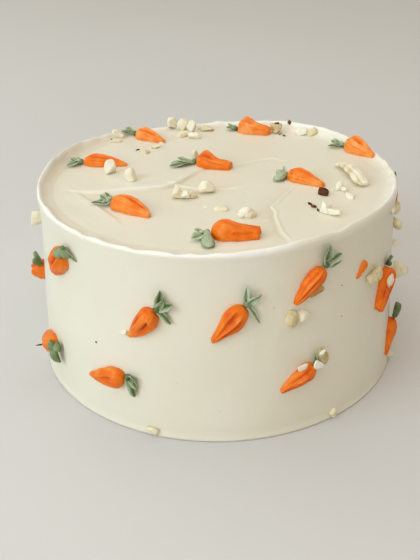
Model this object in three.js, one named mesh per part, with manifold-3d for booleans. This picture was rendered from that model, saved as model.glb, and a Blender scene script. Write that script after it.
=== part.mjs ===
// A whole round carrot cake under cream cheese frosting. Small carrots are piped on its top and side in orange
// and green frosting, and chopped nuts are scattered over the top and pressed into the side.
//
// Millimetres and degrees. The cake stands on z = 0 with its axis on Z and its front towards -Y. A place on the
// side is an angle round the axis, from the front towards +X, and a height.

import * as THREE from 'three';
import { ConvexGeometry } from 'three/addons/geometries/ConvexGeometry.js';
import { mergeVertices } from 'three/addons/utils/BufferGeometryUtils.js';
import Module from 'manifold-3d';

const wasm = await Module();
wasm.setup();

const degrees = THREE.MathUtils.degToRad;

// Driving dimensions of the frosted cake.
const CAKE_HEIGHT = 101;
const FOOT_RADIUS = 100;
const WAIST_RADIUS = 96.9;
const NECK_RADIUS = 94.6;
const LIP_OVERHANG = 1.1;
const RIM_WIDTH = 8.6;
const TOP_SINKS = 3.2;
const LEAN = { x: 0.012, y: 0.011 };
const ROUND_STEPS = 80;

// Driving dimensions of what lies on it.
const GAP = 0.36;
const CARROT_STATIONS = [0.02, 0.12, 0.32, 0.6, 0.86, 1];
const LEAF_STATIONS = [0, 0.45, 0.8];
const LEAF_THICKNESS = 0.9;
const CROWN_RADIUS = 1.5;
const NUT_POINTS = 13;
const NUT_SINKS = 0.7;
const STROKE_STEPS = 8;
const SLIVER = 0.02;
const STROKE_SINKS = 0.6;

const TOP_HEIGHT = CAKE_HEIGHT - TOP_SINKS;
const LIP_RADIUS = NECK_RADIUS + LIP_OVERHANG;
const FLAT_RADIUS = LIP_RADIUS - RIM_WIDTH;

// The cake's outline as radius and height: up the side from the flared foot to the lip that hangs over it ...
const SIDE_OUTLINE = [
  [FOOT_RADIUS, 0],
  [FOOT_RADIUS - 0.8, 2.5],
  [FOOT_RADIUS - 1.2, 8],
  [WAIST_RADIUS, 0.45 * CAKE_HEIGHT],
  [NECK_RADIUS, 0.86 * CAKE_HEIGHT],
  [NECK_RADIUS + 0.15, 0.9 * CAKE_HEIGHT],
  [NECK_RADIUS + 0.65 * LIP_OVERHANG, 0.945 * CAKE_HEIGHT],
  [LIP_RADIUS, 0.973 * CAKE_HEIGHT],
];

// ... and over the crest of the rim to the flat of the top, which lies a little lower.
const TOP_OUTLINE = [
  [LIP_RADIUS - 0.4, CAKE_HEIGHT - 1],
  [LIP_RADIUS - 1.7, CAKE_HEIGHT],
  [LIP_RADIUS - 3.7, CAKE_HEIGHT - 0.7],
  [LIP_RADIUS - 5.7, CAKE_HEIGHT - 2.2],
  [FLAT_RADIUS, TOP_HEIGHT],
];

// The spatula left the rim in long waves: how many go round, how high each stands and the angle of its crest ...
const RIM_WAVES = [
  [2, 1.3, 77],
  [3, 1.4, 21],
  [4, 0.7, 59],
];

// ... with short bumps and nicks on top: an angle, a rise and how many degrees it spreads over.
const RIM_BUMPS = [
  [-135, 0.5, 4],
  [-121, 0.4, 4],
  [-21, -0.5, 3],
  [24, 0.4, 4],
  [152, 0.4, 6],
];

const FROSTING = new THREE.MeshStandardMaterial({ color: '#efe8d2', roughness: 0.55, metalness: 0 });
const ORANGE = new THREE.MeshStandardMaterial({ color: '#f0701c', roughness: 0.5, metalness: 0 });
const GREEN = new THREE.MeshStandardMaterial({ color: '#86a27e', roughness: 0.5, metalness: 0 });
const NUT = new THREE.MeshStandardMaterial({ color: '#eee2bd', roughness: 0.6, metalness: 0 });

// The value at x on a line through pairs of [x, value] that are in order of x.
function along(pairs, x) {
  const after = pairs.findIndex((pair) => pair[0] >= x);
  if (after < 0) return pairs.at(-1)[1];
  if (after === 0) return pairs[0][1];
  const [x0, value0] = pairs[after - 1];
  const [x1, value1] = pairs[after];
  return THREE.MathUtils.mapLinear(x, x0, x1, value0, value1);
}

const radiusByHeight = SIDE_OUTLINE.map(([radius, height]) => [height, radius]);
const heightByRadius = TOP_OUTLINE.toReversed();

// How far the spatula left the side out of round, the same from foot to rim.
function outOfRound(turn) {
  return 0.22 * Math.sin(2 * turn + 0.8) + 0.16 * Math.sin(5 * turn + 2.1);
}

function rimRise(turn) {
  const waves = RIM_WAVES.map(([count, rise, crest]) => rise * Math.cos(count * (turn - degrees(crest))));
  const bumps = RIM_BUMPS.map(([angle, rise, spread]) => {
    const away = THREE.MathUtils.euclideanModulo(THREE.MathUtils.radToDeg(turn) - angle + 180, 360) - 180;
    return rise * Math.exp(-((away / spread) ** 2));
  });
  return [...waves, ...bumps].reduce((sum, rise) => sum + rise);
}

// A height of the outline with the rim's unevenness, which is full at the crest and gone on the flat.
function unevenHeight(turn, height) {
  return height + (rimRise(turn) * Math.max(0, height - TOP_HEIGHT)) / TOP_SINKS;
}

function atAngle(turn, radius, height) {
  return new THREE.Vector3(radius * Math.sin(turn), -radius * Math.cos(turn), height);
}

// The frosting under a point of the top, and its radius at an angle and a height of the side.
function topHeight(x, y) {
  const turn = Math.atan2(x, -y);
  const radius = Math.hypot(x, y) - outOfRound(turn);
  return unevenHeight(turn, along(heightByRadius, radius));
}

function sideRadius(turn, height) {
  return along(radiusByHeight, height) + outOfRound(turn);
}

function middleOf(ring) {
  return ring.reduce((sum, point) => sum.add(point), new THREE.Vector3()).divideScalar(ring.length);
}

// Joins rings of points into one closed skin. A fan closes each end, the last one out to a tip. Each ring runs
// counter-clockwise as seen from the ring after it, so that the faces point out.
function closedSkin(rings, tip = middleOf(rings.at(-1))) {
  const sides = rings[0].length;
  const points = [...rings.flat(), middleOf(rings[0]), tip];
  const last = sides * (rings.length - 1);
  const index = [];
  for (let side = 0; side < sides; side++) {
    const next = (side + 1) % sides;
    for (let start = 0; start < last; start += sides) {
      index.push(start + side, start + next, start + sides + side);
      index.push(start + next, start + sides + next, start + sides + side);
    }
    index.push(points.length - 2, next, side);
    index.push(points.length - 1, last + side, last + next);
  }
  return new THREE.BufferGeometry().setFromPoints(points).setIndex(index);
}

function toSolid(geometry) {
  geometry.deleteAttribute('normal');
  geometry.deleteAttribute('uv');
  const merged = mergeVertices(geometry, 1e-4);
  const vertProperties = Float32Array.from(merged.attributes.position.array);
  const triVerts = Uint32Array.from(merged.index.array);
  return new wasm.Manifold(new wasm.Mesh({ numProp: 3, vertProperties, triVerts }));
}

function toGeometry(solid) {
  const mesh = solid.getMesh();
  const geometry = new THREE.BufferGeometry();
  geometry.setAttribute('position', new THREE.BufferAttribute(mesh.vertProperties, 3));
  geometry.setIndex(new THREE.BufferAttribute(mesh.triVerts, 1));
  return geometry;
}

// Pieces fused into one, without the slivers that a seam between them leaves.
function joined(geometries) {
  const whole = geometries.map(toSolid).reduce((sum, piece) => sum.add(piece));
  return toGeometry(whole.asOriginal().simplify(SLIVER));
}

// The cake and all that lies on it, drawn level, stands a little taller towards the back and the right.
function leaned(geometry) {
  const position = geometry.attributes.position;
  for (let i = 0; i < position.count; i++) {
    const share = position.getZ(i) / CAKE_HEIGHT;
    position.setZ(i, position.getZ(i) + share * (LEAN.x * position.getX(i) + LEAN.y * position.getY(i)));
  }
  return geometry;
}

// A spot on the frosting, and the way that a piece lies on it. A spot takes u along the piece, v to its left and
// h off the frosting, and gives the point there; the piece follows the frosting's curve.
function spotOnTop({ x, y, heading }) {
  const cos = Math.cos(degrees(heading));
  const sin = Math.sin(degrees(heading));
  return (u, v, h) => {
    const px = x + u * cos - v * sin;
    const py = y + u * sin + v * cos;
    return new THREE.Vector3(px, py, topHeight(px, py) + h);
  };
}

function spotOnSide({ angle, height, heading }) {
  const cos = Math.cos(degrees(heading));
  const sin = Math.sin(degrees(heading));
  return (u, v, h) => {
    const turn = degrees(angle) + (u * cos - v * sin) / WAIST_RADIUS;
    const up = height + u * sin + v * cos;
    return atAngle(turn, sideRadius(turn, up) + h, up);
  };
}

// The turned and shifted frame of a piece at a spot: X along it, Z off the frosting.
function frameAt(spot) {
  const origin = spot(0, 0, 0);
  const ahead = spot(1, 0, 0).sub(origin).normalize();
  const off = ahead.clone().cross(spot(0, 1, 0).sub(origin)).normalize();
  const left = off.clone().cross(ahead);
  return new THREE.Matrix4().makeBasis(ahead, left, off).setPosition(origin);
}

// A piece of plain shape, drawn in u, v and h, laid on the frosting at a spot.
function laid(geometry, spot, lift) {
  const position = geometry.attributes.position;
  for (let i = 0; i < position.count; i++) {
    const point = spot(position.getX(i), position.getY(i), position.getZ(i) + lift);
    position.setXYZ(i, point.x, point.y, point.z);
  }
  return geometry;
}

// A group at a spot that holds the pieces lying there, each drawn in the group's own frame.
function groupAt(spot, pieces) {
  const frame = frameAt(spot);
  const back = frame.clone().invert();
  const group = new THREE.Group();
  group.applyMatrix4(frame);
  for (const [name, geometry, material] of pieces) {
    const mesh = new THREE.Mesh(leaned(geometry).applyMatrix4(back), material.clone());
    mesh.name = name;
    group.add(mesh);
  }
  return group;
}

// Piped carrot body: half its outline at a share s of its length, from the shoulder to the tip.
function bodyHalf({ width, tip }, s) {
  const shoulder = s < 0.3 ? Math.sqrt(1 - (1 - s / 0.3) ** 2) : 1;
  const taper = s > 0.3 ? 1 - (1 - tip) * ((s - 0.3) / 0.7) ** 1.5 : 1;
  return (width / 2) * shoulder * taper;
}

// The dome over the body, from its right edge to its left, as pairs of an angle and a share of the full height.
// Dips are the grooves where one pass of the piping tip lies against the next.
const DOMES = {
  two: [[0, 1], [30, 1], [55, 1.02], [76, 0.98], [92, 0.66], [108, 0.94], [130, 1], [155, 1], [180, 1]],
  three: [[0, 1], [28, 1], [46, 1], [63, 0.74], [80, 1.02], [98, 1.02], [116, 0.72], [146, 0.96], [180, 1]],
};

function carrotBody(carrot, spot) {
  const { length, rise, lobes, bend } = carrot;
  const rings = CARROT_STATIONS.map((s) => {
    const half = bodyHalf(carrot, s);
    const tall = rise * (0.3 + 0.7 * (2 * half) / carrot.width) * (1 - 0.25 * s);
    const drift = bend * Math.sin(Math.PI * s);
    const groove = Math.sin(Math.PI * Math.min(1, 0.08 + s));
    const dome = DOMES[lobes].map(([angle, share]) => {
      const swell = 1 + (share - 1) * groove;
      const across = half * Math.cos(degrees(angle)) * (0.85 + 0.15 * swell);
      return spot(s * length, drift + across, GAP + tall * (0.22 + 0.78 * Math.sin(degrees(angle)) * swell));
    });
    const underside = [-0.84, 0, 0.84].map((share) => spot(s * length, drift + share * half, GAP));
    return [...dome, ...underside];
  });
  return closedSkin(rings);
}

// One piped leaf: a thin blade folded along its middle, its two faces a thickness apart. It leaves the crown at
// an angle from straight behind the body, and its tip stands off the frosting.
function leafBlade({ angle, length, wide, tipRise }, spot) {
  const turn = Math.PI + degrees(angle);
  const halves = [0.5, 1.2, 0.78].map((share) => (share * wide) / 2);
  const folds = [0.1, 0.32, 0.16].map((share) => share * wide);
  const on = (s, across, h) => {
    const u = -CROWN_RADIUS - GAP + s * length * Math.cos(turn) - across * Math.sin(turn);
    const v = s * length * Math.sin(turn) + across * Math.cos(turn);
    return spot(u, v, GAP + LEAF_THICKNESS + tipRise * s ** 1.6 + h);
  };
  const rings = LEAF_STATIONS.map((s, i) => {
    const thick = LEAF_THICKNESS * (1 - 0.5 * s);
    const wave = 0.3 * Math.sin(2.5 * s * Math.PI);
    const left = folds[i] * (1 + wave);
    const right = folds[i] * (1 - wave);
    const top = [on(s, halves[i], left), on(s, 0, 0), on(s, -halves[i], right)];
    const bottom = [on(s, -halves[i], right - thick), on(s, 0, -thick), on(s, halves[i], left - thick)];
    return [...top, ...bottom];
  });
  return closedSkin(rings, on(1, 0, -LEAF_THICKNESS / 3));
}

function leafTuft(leaves, spot) {
  const crown = new THREE.OctahedronGeometry(CROWN_RADIUS, 0).scale(1, 1.3, 1);
  crown.translate(-CROWN_RADIUS - GAP, 0, CROWN_RADIUS);
  const blades = leaves.map(([angle, length, wide, tipRise]) => leafBlade({ angle, length, wide, tipRise }, spot));
  return joined([laid(crown, spot, GAP), ...blades]);
}

function seededRandom(seed) {
  let state = seed;
  return () => {
    state = (state * 1664525 + 1013904223) % 4294967296;
    return state / 4294967296;
  };
}

// A chopped nut: the hull of a few points spread over a boxy egg, so that it has flat cut faces. Its lowest point
// is at height 0.
function choppedNut([long, wide, tall], seed) {
  const random = seededRandom(seed);
  const goldenAngle = Math.PI * (3 - Math.sqrt(5));
  const boxy = (c) => Math.sign(c) * Math.abs(c) ** 0.65;
  const points = Array.from({ length: NUT_POINTS }, (unused, i) => {
    const height = 1 - (2 * i + 1) / NUT_POINTS;
    const turn = i * goldenAngle + 0.8 * random();
    const ring = Math.sqrt(1 - height * height);
    const size = 0.44 + 0.12 * random();
    return new THREE.Vector3(
      size * long * boxy(ring * Math.cos(turn)),
      size * wide * boxy(ring * Math.sin(turn)),
      size * tall * boxy(height),
    );
  });
  const hull = new ConvexGeometry(points);
  hull.computeBoundingBox();
  return hull.translate(0, 0, -hull.boundingBox.min.z);
}

// The curled sliver of nut that lies near the right of the top: an arched strip with a hooked end, as points of
// x, y and height above the frosting along its middle.
const SLIVER_PATH = [
  [66, 4, 1.3],
  [68.5, 7.5, 3.2],
  [72, 6, 4.2],
  [74.6, -2, 3.9],
  [76.3, -10, 2.7],
  [76.4, -16, 1.5],
];
const SLIVER_HALF_WIDTH = 2.9;
const SLIVER_HALF_THICKNESS = 0.9;
const SLIVER_STEPS = 9;

function nutSliver() {
  const curve = new THREE.CatmullRomCurve3(SLIVER_PATH.map((point) => new THREE.Vector3(...point)));
  const rings = Array.from({ length: SLIVER_STEPS + 1 }, (unused, i) => {
    const s = i / SLIVER_STEPS;
    const middle = curve.getPointAt(s);
    const ahead = curve.getTangentAt(s);
    const left = new THREE.Vector3(-ahead.y, ahead.x, 0).normalize();
    const off = ahead.clone().cross(left);
    const share = 0.35 + 0.65 * Math.sin(Math.PI * (0.1 + 0.8 * s));
    return [0, 60, 120, 180, 240, 300].map((angle) => {
      const across = share * SLIVER_HALF_WIDTH * Math.cos(degrees(angle));
      const up = SLIVER_HALF_THICKNESS * Math.sin(degrees(angle));
      const point = middle.clone().addScaledVector(left, across).addScaledVector(off, up);
      point.z = topHeight(point.x, point.y) + Math.max(GAP, point.z);
      return point;
    });
  });
  return closedSkin(rings);
}

// A low ledge that a stroke of the spatula left on the top: steep to one side of its line and gentle to the
// other, and dying out at both ends. The line is a list of x and y.
function stroke({ line, high, steep, gentle }) {
  const curve = new THREE.CatmullRomCurve3(line.map(([x, y]) => new THREE.Vector3(x, y, 0)));
  const rings = Array.from({ length: STROKE_STEPS + 1 }, (unused, i) => {
    const s = i / STROKE_STEPS;
    const middle = curve.getPointAt(s);
    const ahead = curve.getTangentAt(s);
    const share = Math.sin(Math.PI * (0.06 + 0.88 * s)) ** 0.6;
    const crest = (high + STROKE_SINKS) * share - STROKE_SINKS;
    const across = (v, h) => {
      const x = middle.x - v * ahead.y;
      const y = middle.y + v * ahead.x;
      return new THREE.Vector3(x, y, topHeight(x, y) + h);
    };
    return [
      across(-steep, -STROKE_SINKS),
      across(0, crest),
      across(gentle, -STROKE_SINKS),
      across(0, -4 * STROKE_SINKS),
    ];
  });
  return closedSkin(rings);
}

const STROKES = [
  { high: 0.9, steep: 2, gentle: 5, line: [[-77, -20], [-61, -16], [-45, -13], [-28, -5], [-19, -1], [-12, 7]] },
  { high: 0.5, steep: 2, gentle: 2.5, line: [[15, 18], [21, 24], [27, 29], [34, 29], [39, 21]] },
  { high: 0.8, steep: 2, gentle: 2.2, line: [[40, -21], [35, -29], [29, -40], [28, -52], [30, -67], [31, -80]] },
  { high: 0.7, steep: 1.8, gentle: 2, line: [[23.5, -54], [19, -57], [13, -60]] },
];

// Carrots on the top: x and y of the shoulder and the heading from shoulder to tip. Tip is the share of the width
// left at the tip, and leaves are angle, length, width and rise of the tip.
const TOP_CARROTS = [
  {
    x: -49, y: 71, heading: -39, length: 22, width: 10, rise: 6.8,
    lobes: 'two', tip: 0.2, bend: 0.6,
    leaves: [[30, 7, 3.6, 1.2], [-10, 6, 3.4, 2.2]],
  },
  {
    x: -75.3, y: 26.5, heading: -12, length: 25.4, width: 9.8, rise: 6.2,
    lobes: 'three', tip: 0.18, bend: 0.8,
    leaves: [[44, 8, 3.8, 0.4], [-14, 6, 3.8, 2.8]],
  },
  {
    x: -52, y: -33, heading: -41, length: 25.8, width: 12.2, rise: 7,
    lobes: 'two', tip: 0.22, bend: 0.8,
    leaves: [[58, 10, 3.8, 0.4], [24, 9, 3.6, 1.8], [-8, 7, 3.4, 3]],
  },
  {
    x: -11, y: 21.8, heading: -24, length: 20.8, width: 9.8, rise: 7.4,
    lobes: 'two', tip: 0.62, bend: -0.9,
    leaves: [[62, 14, 4, 0.3], [40, 12, 3.8, 1.2], [12, 8, 3.4, 2.2]],
  },
  {
    x: 14, y: 79, heading: -23, length: 20.4, width: 10.2, rise: 9,
    lobes: 'two', tip: 0.5, bend: -0.6,
    leaves: [[-12, 5.5, 3.8, 2.6], [26, 5.5, 3.8, 0.8]],
  },
  {
    x: 38.6, y: -1.5, heading: -41, length: 22.4, width: 10.4, rise: 6.6,
    lobes: 'three', tip: 0.24, bend: 0.6,
    leaves: [[84, 9, 4.6, 0.6], [36, 8.4, 4.6, 1.8], [-20, 6, 3.4, 3.2]],
  },
  {
    x: 76, y: 42.5, heading: -58, length: 22.8, width: 11.2, rise: 9,
    lobes: 'two', tip: 0.2, bend: 0.6,
    leaves: [[50, 9, 3.8, 1], [14, 7.5, 3.8, 2.6]],
  },
  {
    x: -2.8, y: -71, heading: -6, length: 22.2, width: 12.8, rise: 7.6,
    lobes: 'three', tip: 0.5, bend: -0.5,
    leaves: [[58, 12.5, 4.4, 0.8], [84, 14, 5.2, 0.4], [24, 6.5, 3.4, 2.4]],
  },
];

// Carrots on the side: angle and height of the shoulder, and the heading as seen from outside, 0 to the right and
// -90 down. The last rows go round the back in the same loose rows.
const SIDE_CARROTS = [
  {
    angle: -80, height: 56.5, heading: -125, length: 15.5, width: 10, rise: 8,
    lobes: 'two', tip: 0.3, bend: 0.4,
    leaves: [[36, 7, 4, 3.4], [-8, 7, 3.8, 4.4]],
  },
  {
    angle: -50.8, height: 84.8, heading: -130, length: 19, width: 13, rise: 7,
    lobes: 'two', tip: 0.4, bend: 0.3,
    leaves: [[44, 5.5, 4.4, 1.6], [0, 6, 4.6, 1.6], [-52, 9.5, 3.4, 0.4]],
  },
  {
    angle: -60, height: 24.5, heading: -172, length: 16.5, width: 10.8, rise: 7.6,
    lobes: 'two', tip: 0.45, bend: 0.4,
    leaves: [[-62, 9, 4, 1], [-16, 7, 4, 1.8], [34, 6, 3.6, 1.8]],
  },
  {
    angle: -27.4, height: 30.4, heading: -163, length: 22.8, width: 11.6, rise: 6.2,
    lobes: 'three', tip: 0.16, bend: 0.5,
    leaves: [[-84, 12, 4.6, 0.4], [-44, 7.5, 4.2, 1], [0, 5.5, 4, 1.4]],
  },
  {
    angle: -17.4, height: 70, heading: -131, length: 20.4, width: 11.4, rise: 6.4,
    lobes: 'three', tip: 0.18, bend: 0.5,
    leaves: [[30, 11.5, 4, 1.4], [-10, 10.5, 4, 1.4], [-46, 7, 3.4, 2], [-82, 11.5, 3.2, 0.6]],
  },
  {
    angle: 7, height: 73.8, heading: -130, length: 22.6, width: 11, rise: 6.2,
    lobes: 'three', tip: 0.2, bend: 0.4,
    leaves: [[66, 9.5, 3.6, 1.6], [26, 9.5, 4, 1.2], [-92, 12, 3, 0.6]],
  },
  {
    angle: 30, height: 86, heading: -133, length: 20.6, width: 9.8, rise: 6.2,
    lobes: 'two', tip: 0.22, bend: -0.5,
    leaves: [[58, 11.5, 4, 1.6], [4, 9.5, 4, 1.4], [-46, 9, 3.2, 0.8]],
  },
  {
    angle: 27.4, height: 36.2, heading: -147, length: 19.6, width: 9.6, rise: 5.8,
    lobes: 'three', tip: 0.3, bend: 0.5,
    leaves: [[38, 8.5, 3.2, 1.4], [70, 6.5, 3, 1]],
  },
  {
    angle: 63, height: 66.6, heading: -124, length: 23, width: 10.6, rise: 7.2,
    lobes: 'two', tip: 0.4, bend: -0.5,
    leaves: [[10, 5, 3.8, 0.8], [56, 5, 3.4, 1]],
  },
  {
    angle: 72, height: 26.8, heading: -120, length: 20, width: 9.4, rise: 6.4,
    lobes: 'two', tip: 0.14, bend: 0.6,
    leaves: [[44, 7.5, 4.4, 2.6], [4, 7.5, 4.4, 3], [-30, 6, 3.8, 2]],
  },
  {
    angle: 93.5, height: 89, heading: -97, length: 21, width: 9.8, rise: 5.6,
    lobes: 'two', tip: 0.24, bend: 0.4,
    leaves: [[20, 6, 3.4, 1], [-26, 6, 3.4, 0.8]],
  },
  {
    angle: 103, height: 53, heading: -140, length: 22, width: 10.6, rise: 6.2,
    lobes: 'three', tip: 0.2, bend: 0.5,
    leaves: [[40, 8, 3, 1.2], [-4, 8.5, 3.2, 1], [-58, 7, 2.8, 0.8]],
  },
  {
    angle: 128, height: 82, heading: -126, length: 21.5, width: 11, rise: 6.4,
    lobes: 'two', tip: 0.3, bend: -0.4,
    leaves: [[34, 8, 3, 1.4], [-10, 7.5, 3.2, 1.2], [-60, 8.5, 2.6, 0.6]],
  },
  {
    angle: 126, height: 27, heading: -158, length: 23, width: 11.2, rise: 6.2,
    lobes: 'three', tip: 0.2, bend: 0.6,
    leaves: [[-70, 9, 3.4, 0.6], [-24, 7.5, 3.2, 1.2], [20, 6.5, 3, 1.4]],
  },
  {
    angle: 157, height: 64, heading: -133, length: 22.5, width: 10.8, rise: 6.4,
    lobes: 'two', tip: 0.2, bend: 0.5,
    leaves: [[38, 8.5, 3, 1.4], [0, 8, 3.2, 1.2], [-72, 9, 2.6, 0.6]],
  },
  {
    angle: 168, height: 25, heading: -146, length: 21, width: 10.2, rise: 6,
    lobes: 'three', tip: 0.36, bend: -0.5,
    leaves: [[44, 7.5, 3, 1], [-6, 8, 3.2, 1.2]],
  },
  {
    angle: 186, height: 87, heading: -128, length: 20.5, width: 11.4, rise: 6.6,
    lobes: 'three', tip: 0.2, bend: 0.4,
    leaves: [[40, 7, 3, 1.4], [-14, 7.5, 3.2, 1.2], [-66, 8, 2.6, 0.8]],
  },
  {
    angle: 212, height: 50, heading: -140, length: 22.5, width: 10.6, rise: 6.2,
    lobes: 'two', tip: 0.24, bend: 0.5,
    leaves: [[36, 8.5, 3, 1.2], [-8, 8, 3.2, 1.2], [-60, 7.5, 2.8, 0.8]],
  },
  {
    angle: 238, height: 84, heading: -131, length: 21.5, width: 10.8, rise: 6.4,
    lobes: 'two', tip: 0.2, bend: -0.4,
    leaves: [[30, 8, 3, 1.4], [-18, 8.5, 3, 1.2], [-74, 8, 2.6, 0.8]],
  },
];

// A dab of orange on the side where the piping tip touched down once, with no leaves.
const DAB = {
  angle: 47.6, height: 79.6, heading: -134, length: 9.4, width: 4.4, rise: 2.6,
  lobes: 'two', tip: 0.2, bend: 0.2,
};

// Chopped nuts that are fused to the frosting, as x, y, heading and their length, width and height ...
const TOP_NUTS = [
  [-58.3, 13.2, 20, [6.2, 5.4, 8.4]],
  [-46.5, 1, -50, [7.2, 4.4, 7.2]],
  [-27.5, 85.5, 30, [5, 4.2, 6.6]],
  [-20.7, 85.5, 70, [5.4, 4.6, 6.6]],
  [-14.5, 85.5, -20, [5.4, 4.4, 6.4]],
  [-7, 81.5, -8, [8.6, 3.8, 3.2]],
  [-20.5, 72.5, 15, [5.6, 4, 3.2]],
  [-12.8, 69.5, -30, [6.8, 4.6, 3.6]],
  [-61.5, 67.5, 60, [6, 5, 5.2]],
  [-36.2, 49.4, -15, [5.4, 3.6, 2.4]],
  [-42.3, 42.4, -10, [6.4, 4.8, 2.4]],
  [-13.8, 33, 80, [5.2, 4.2, 6]],
  [-5, -18.5, 25, [7.6, 5, 5]],
  [1.9, -42.2, 0, [6.8, 4.6, 2.6]],
  [14.4, -47.6, 20, [8, 6, 5]],
  [51.6, 69, -15, [6.8, 5, 4.2]],
  [59.4, 67.2, 20, [6.6, 4.4, 3.6]],
  [37.7, 74.6, 70, [5.6, 4.6, 4.8]],
  [64.2, -21, 40, [5.2, 4.4, 4.6]],
  [66.8, -30.6, -20, [4.6, 3.8, 3.2]],
];

// ... the dark bit of nut skin at the tip of a carrot on the right ...
const DARK_BIT = [54.4, -26, -20, [5.4, 4.6, 4]];

// ... and those in the side, as angle, height, heading and size.
const SIDE_NUTS = [
  [-77.5, 86.5, 80, [8, 5, 6.6]],
  [-18.8, 2.9, 0, [6.8, 4.4, 3.4]],
  [35.2, 3, 20, [4.6, 4, 3.4]],
  [28.8, 72.6, -45, [6.6, 3.8, 3.8]],
  [-27.1, 55, 0, [3.2, 3, 2.6]],
  [21, 62.6, 60, [7.6, 5.2, 4.4]],
  [24.8, 63.6, -30, [5.2, 4.2, 3.8]],
  [32.4, 37.4, 80, [5.8, 4.4, 4.4]],
  [75.5, 53.5, 80, [11, 4.6, 9.4]],
  [68, 56.5, 20, [6, 4.6, 5.6]],
  [72, 4.6, 30, [4.6, 4, 4.4]],
  [78, 77.5, 50, [6.4, 5.4, 5.4]],
  [77, 68, 0, [4.2, 3.6, 4.2]],
  [79, 86, 80, [8, 4.6, 4]],
  [65.5, 94, 70, [4, 3.4, 2.6]],
  [112, 68, 30, [6.2, 4.8, 4]],
  [117, 46, -40, [5.4, 4.2, 3.6]],
  [140, 48, 15, [7, 5, 4.4]],
  [145, 82, 60, [5.6, 4.4, 4]],
  [150, 10, 0, [5, 4, 3.6]],
  [171, 58, -25, [6.4, 4.8, 4]],
  [188, 40, 40, [5.2, 4.2, 3.8]],
  [200, 72, -60, [6, 4.6, 4.2]],
  [222, 22, 20, [6.6, 4.8, 4]],
  [224, 78, -10, [5.2, 4.2, 3.6]],
  [252, 60, 35, [6, 4.8, 4.2]],
  [250, 20, 70, [4.8, 4, 3.6]],
];

// Larger pieces of nut, each one loose enough to lift off: where it lies, how, and its size.
const LARGE_NUTS = {
  nut_top_1: { place: spotOnTop({ x: -17.6, y: -24.5, heading: -10 }), size: [9.8, 8, 6.2] },
  nut_top_2: { place: spotOnTop({ x: 54.6, y: -48, heading: -35 }), size: [11, 6.4, 5] },
  nut_side_1: { place: spotOnSide({ angle: 53, height: 68.2, heading: 15 }), size: [12, 9, 4.6] },
};

// The flake of nut that stuck to the body of one carrot on the side, in that carrot's own u and v.
const STUCK_FLAKE = { carrot: 7, u: 4.6, v: -3.4, lift: 3.6, size: [5.6, 3, 2.4] };

// Frosting: the outline turned round the axis, with the ledges and the small nuts fused on.
function frostedCake() {
  const ring = ([radius, height]) => Array.from({ length: ROUND_STEPS }, (unused, i) => {
    const turn = (2 * Math.PI * i) / ROUND_STEPS;
    return atAngle(turn, radius + outOfRound(turn), unevenHeight(turn, height));
  });
  const skin = closedSkin([...SIDE_OUTLINE, ...TOP_OUTLINE].map(ring));
  const topNuts = [...TOP_NUTS, DARK_BIT].map(([x, y, heading, size], i) => {
    return laid(choppedNut(size, 11 + i), spotOnTop({ x, y, heading }), -NUT_SINKS);
  });
  const sideNuts = SIDE_NUTS.map(([angle, height, heading, size], i) => {
    return laid(choppedNut(size, 101 + i), spotOnSide({ angle, height, heading }), -NUT_SINKS);
  });
  const whole = joined([skin, ...STROKES.map(stroke), ...topNuts, ...sideNuts]);
  const mesh = new THREE.Mesh(leaned(whole), FROSTING);
  mesh.name = 'cake';
  return mesh;
}

function pipedCarrot(carrot, spot, label) {
  return groupAt(spot, [
    [`carrot_${label}`, carrotBody(carrot, spot), ORANGE],
    [`leaves_${label}`, leafTuft(carrot.leaves, spot), GREEN],
  ]);
}

function carrotWithFlake(carrot, spot, label) {
  const { u, v, lift, size } = STUCK_FLAKE;
  const flake = laid(choppedNut(size, 7).translate(u, v, lift), spot, 0);
  return groupAt(spot, [
    [`carrot_${label}`, joined([carrotBody(carrot, spot), flake]), ORANGE],
    [`leaves_${label}`, leafTuft(carrot.leaves, spot), GREEN],
  ]);
}

const carrotCake = new THREE.Group();
carrotCake.add(frostedCake());

TOP_CARROTS.forEach((carrot, i) => {
  carrotCake.add(pipedCarrot(carrot, spotOnTop(carrot), `top_${i + 1}`));
});

SIDE_CARROTS.forEach((carrot, i) => {
  const make = i === STUCK_FLAKE.carrot ? carrotWithFlake : pipedCarrot;
  carrotCake.add(make(carrot, spotOnSide(carrot), `side_${i + 1}`));
});

carrotCake.add(groupAt(spotOnSide(DAB), [['carrot_dab', carrotBody(DAB, spotOnSide(DAB)), ORANGE]]));

for (const [index, [name, { place, size }]] of Object.entries(LARGE_NUTS).entries()) {
  carrotCake.add(groupAt(place, [[name, laid(choppedNut(size, 31 + index), place, GAP), NUT]]));
}

const sliver = new THREE.Mesh(leaned(nutSliver()), NUT);
sliver.name = 'nut_sliver';
carrotCake.add(sliver);

export default carrotCake;
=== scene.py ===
import math

import bmesh
import bpy
import numpy as np
from mathutils import Matrix, Vector, noise


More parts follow.
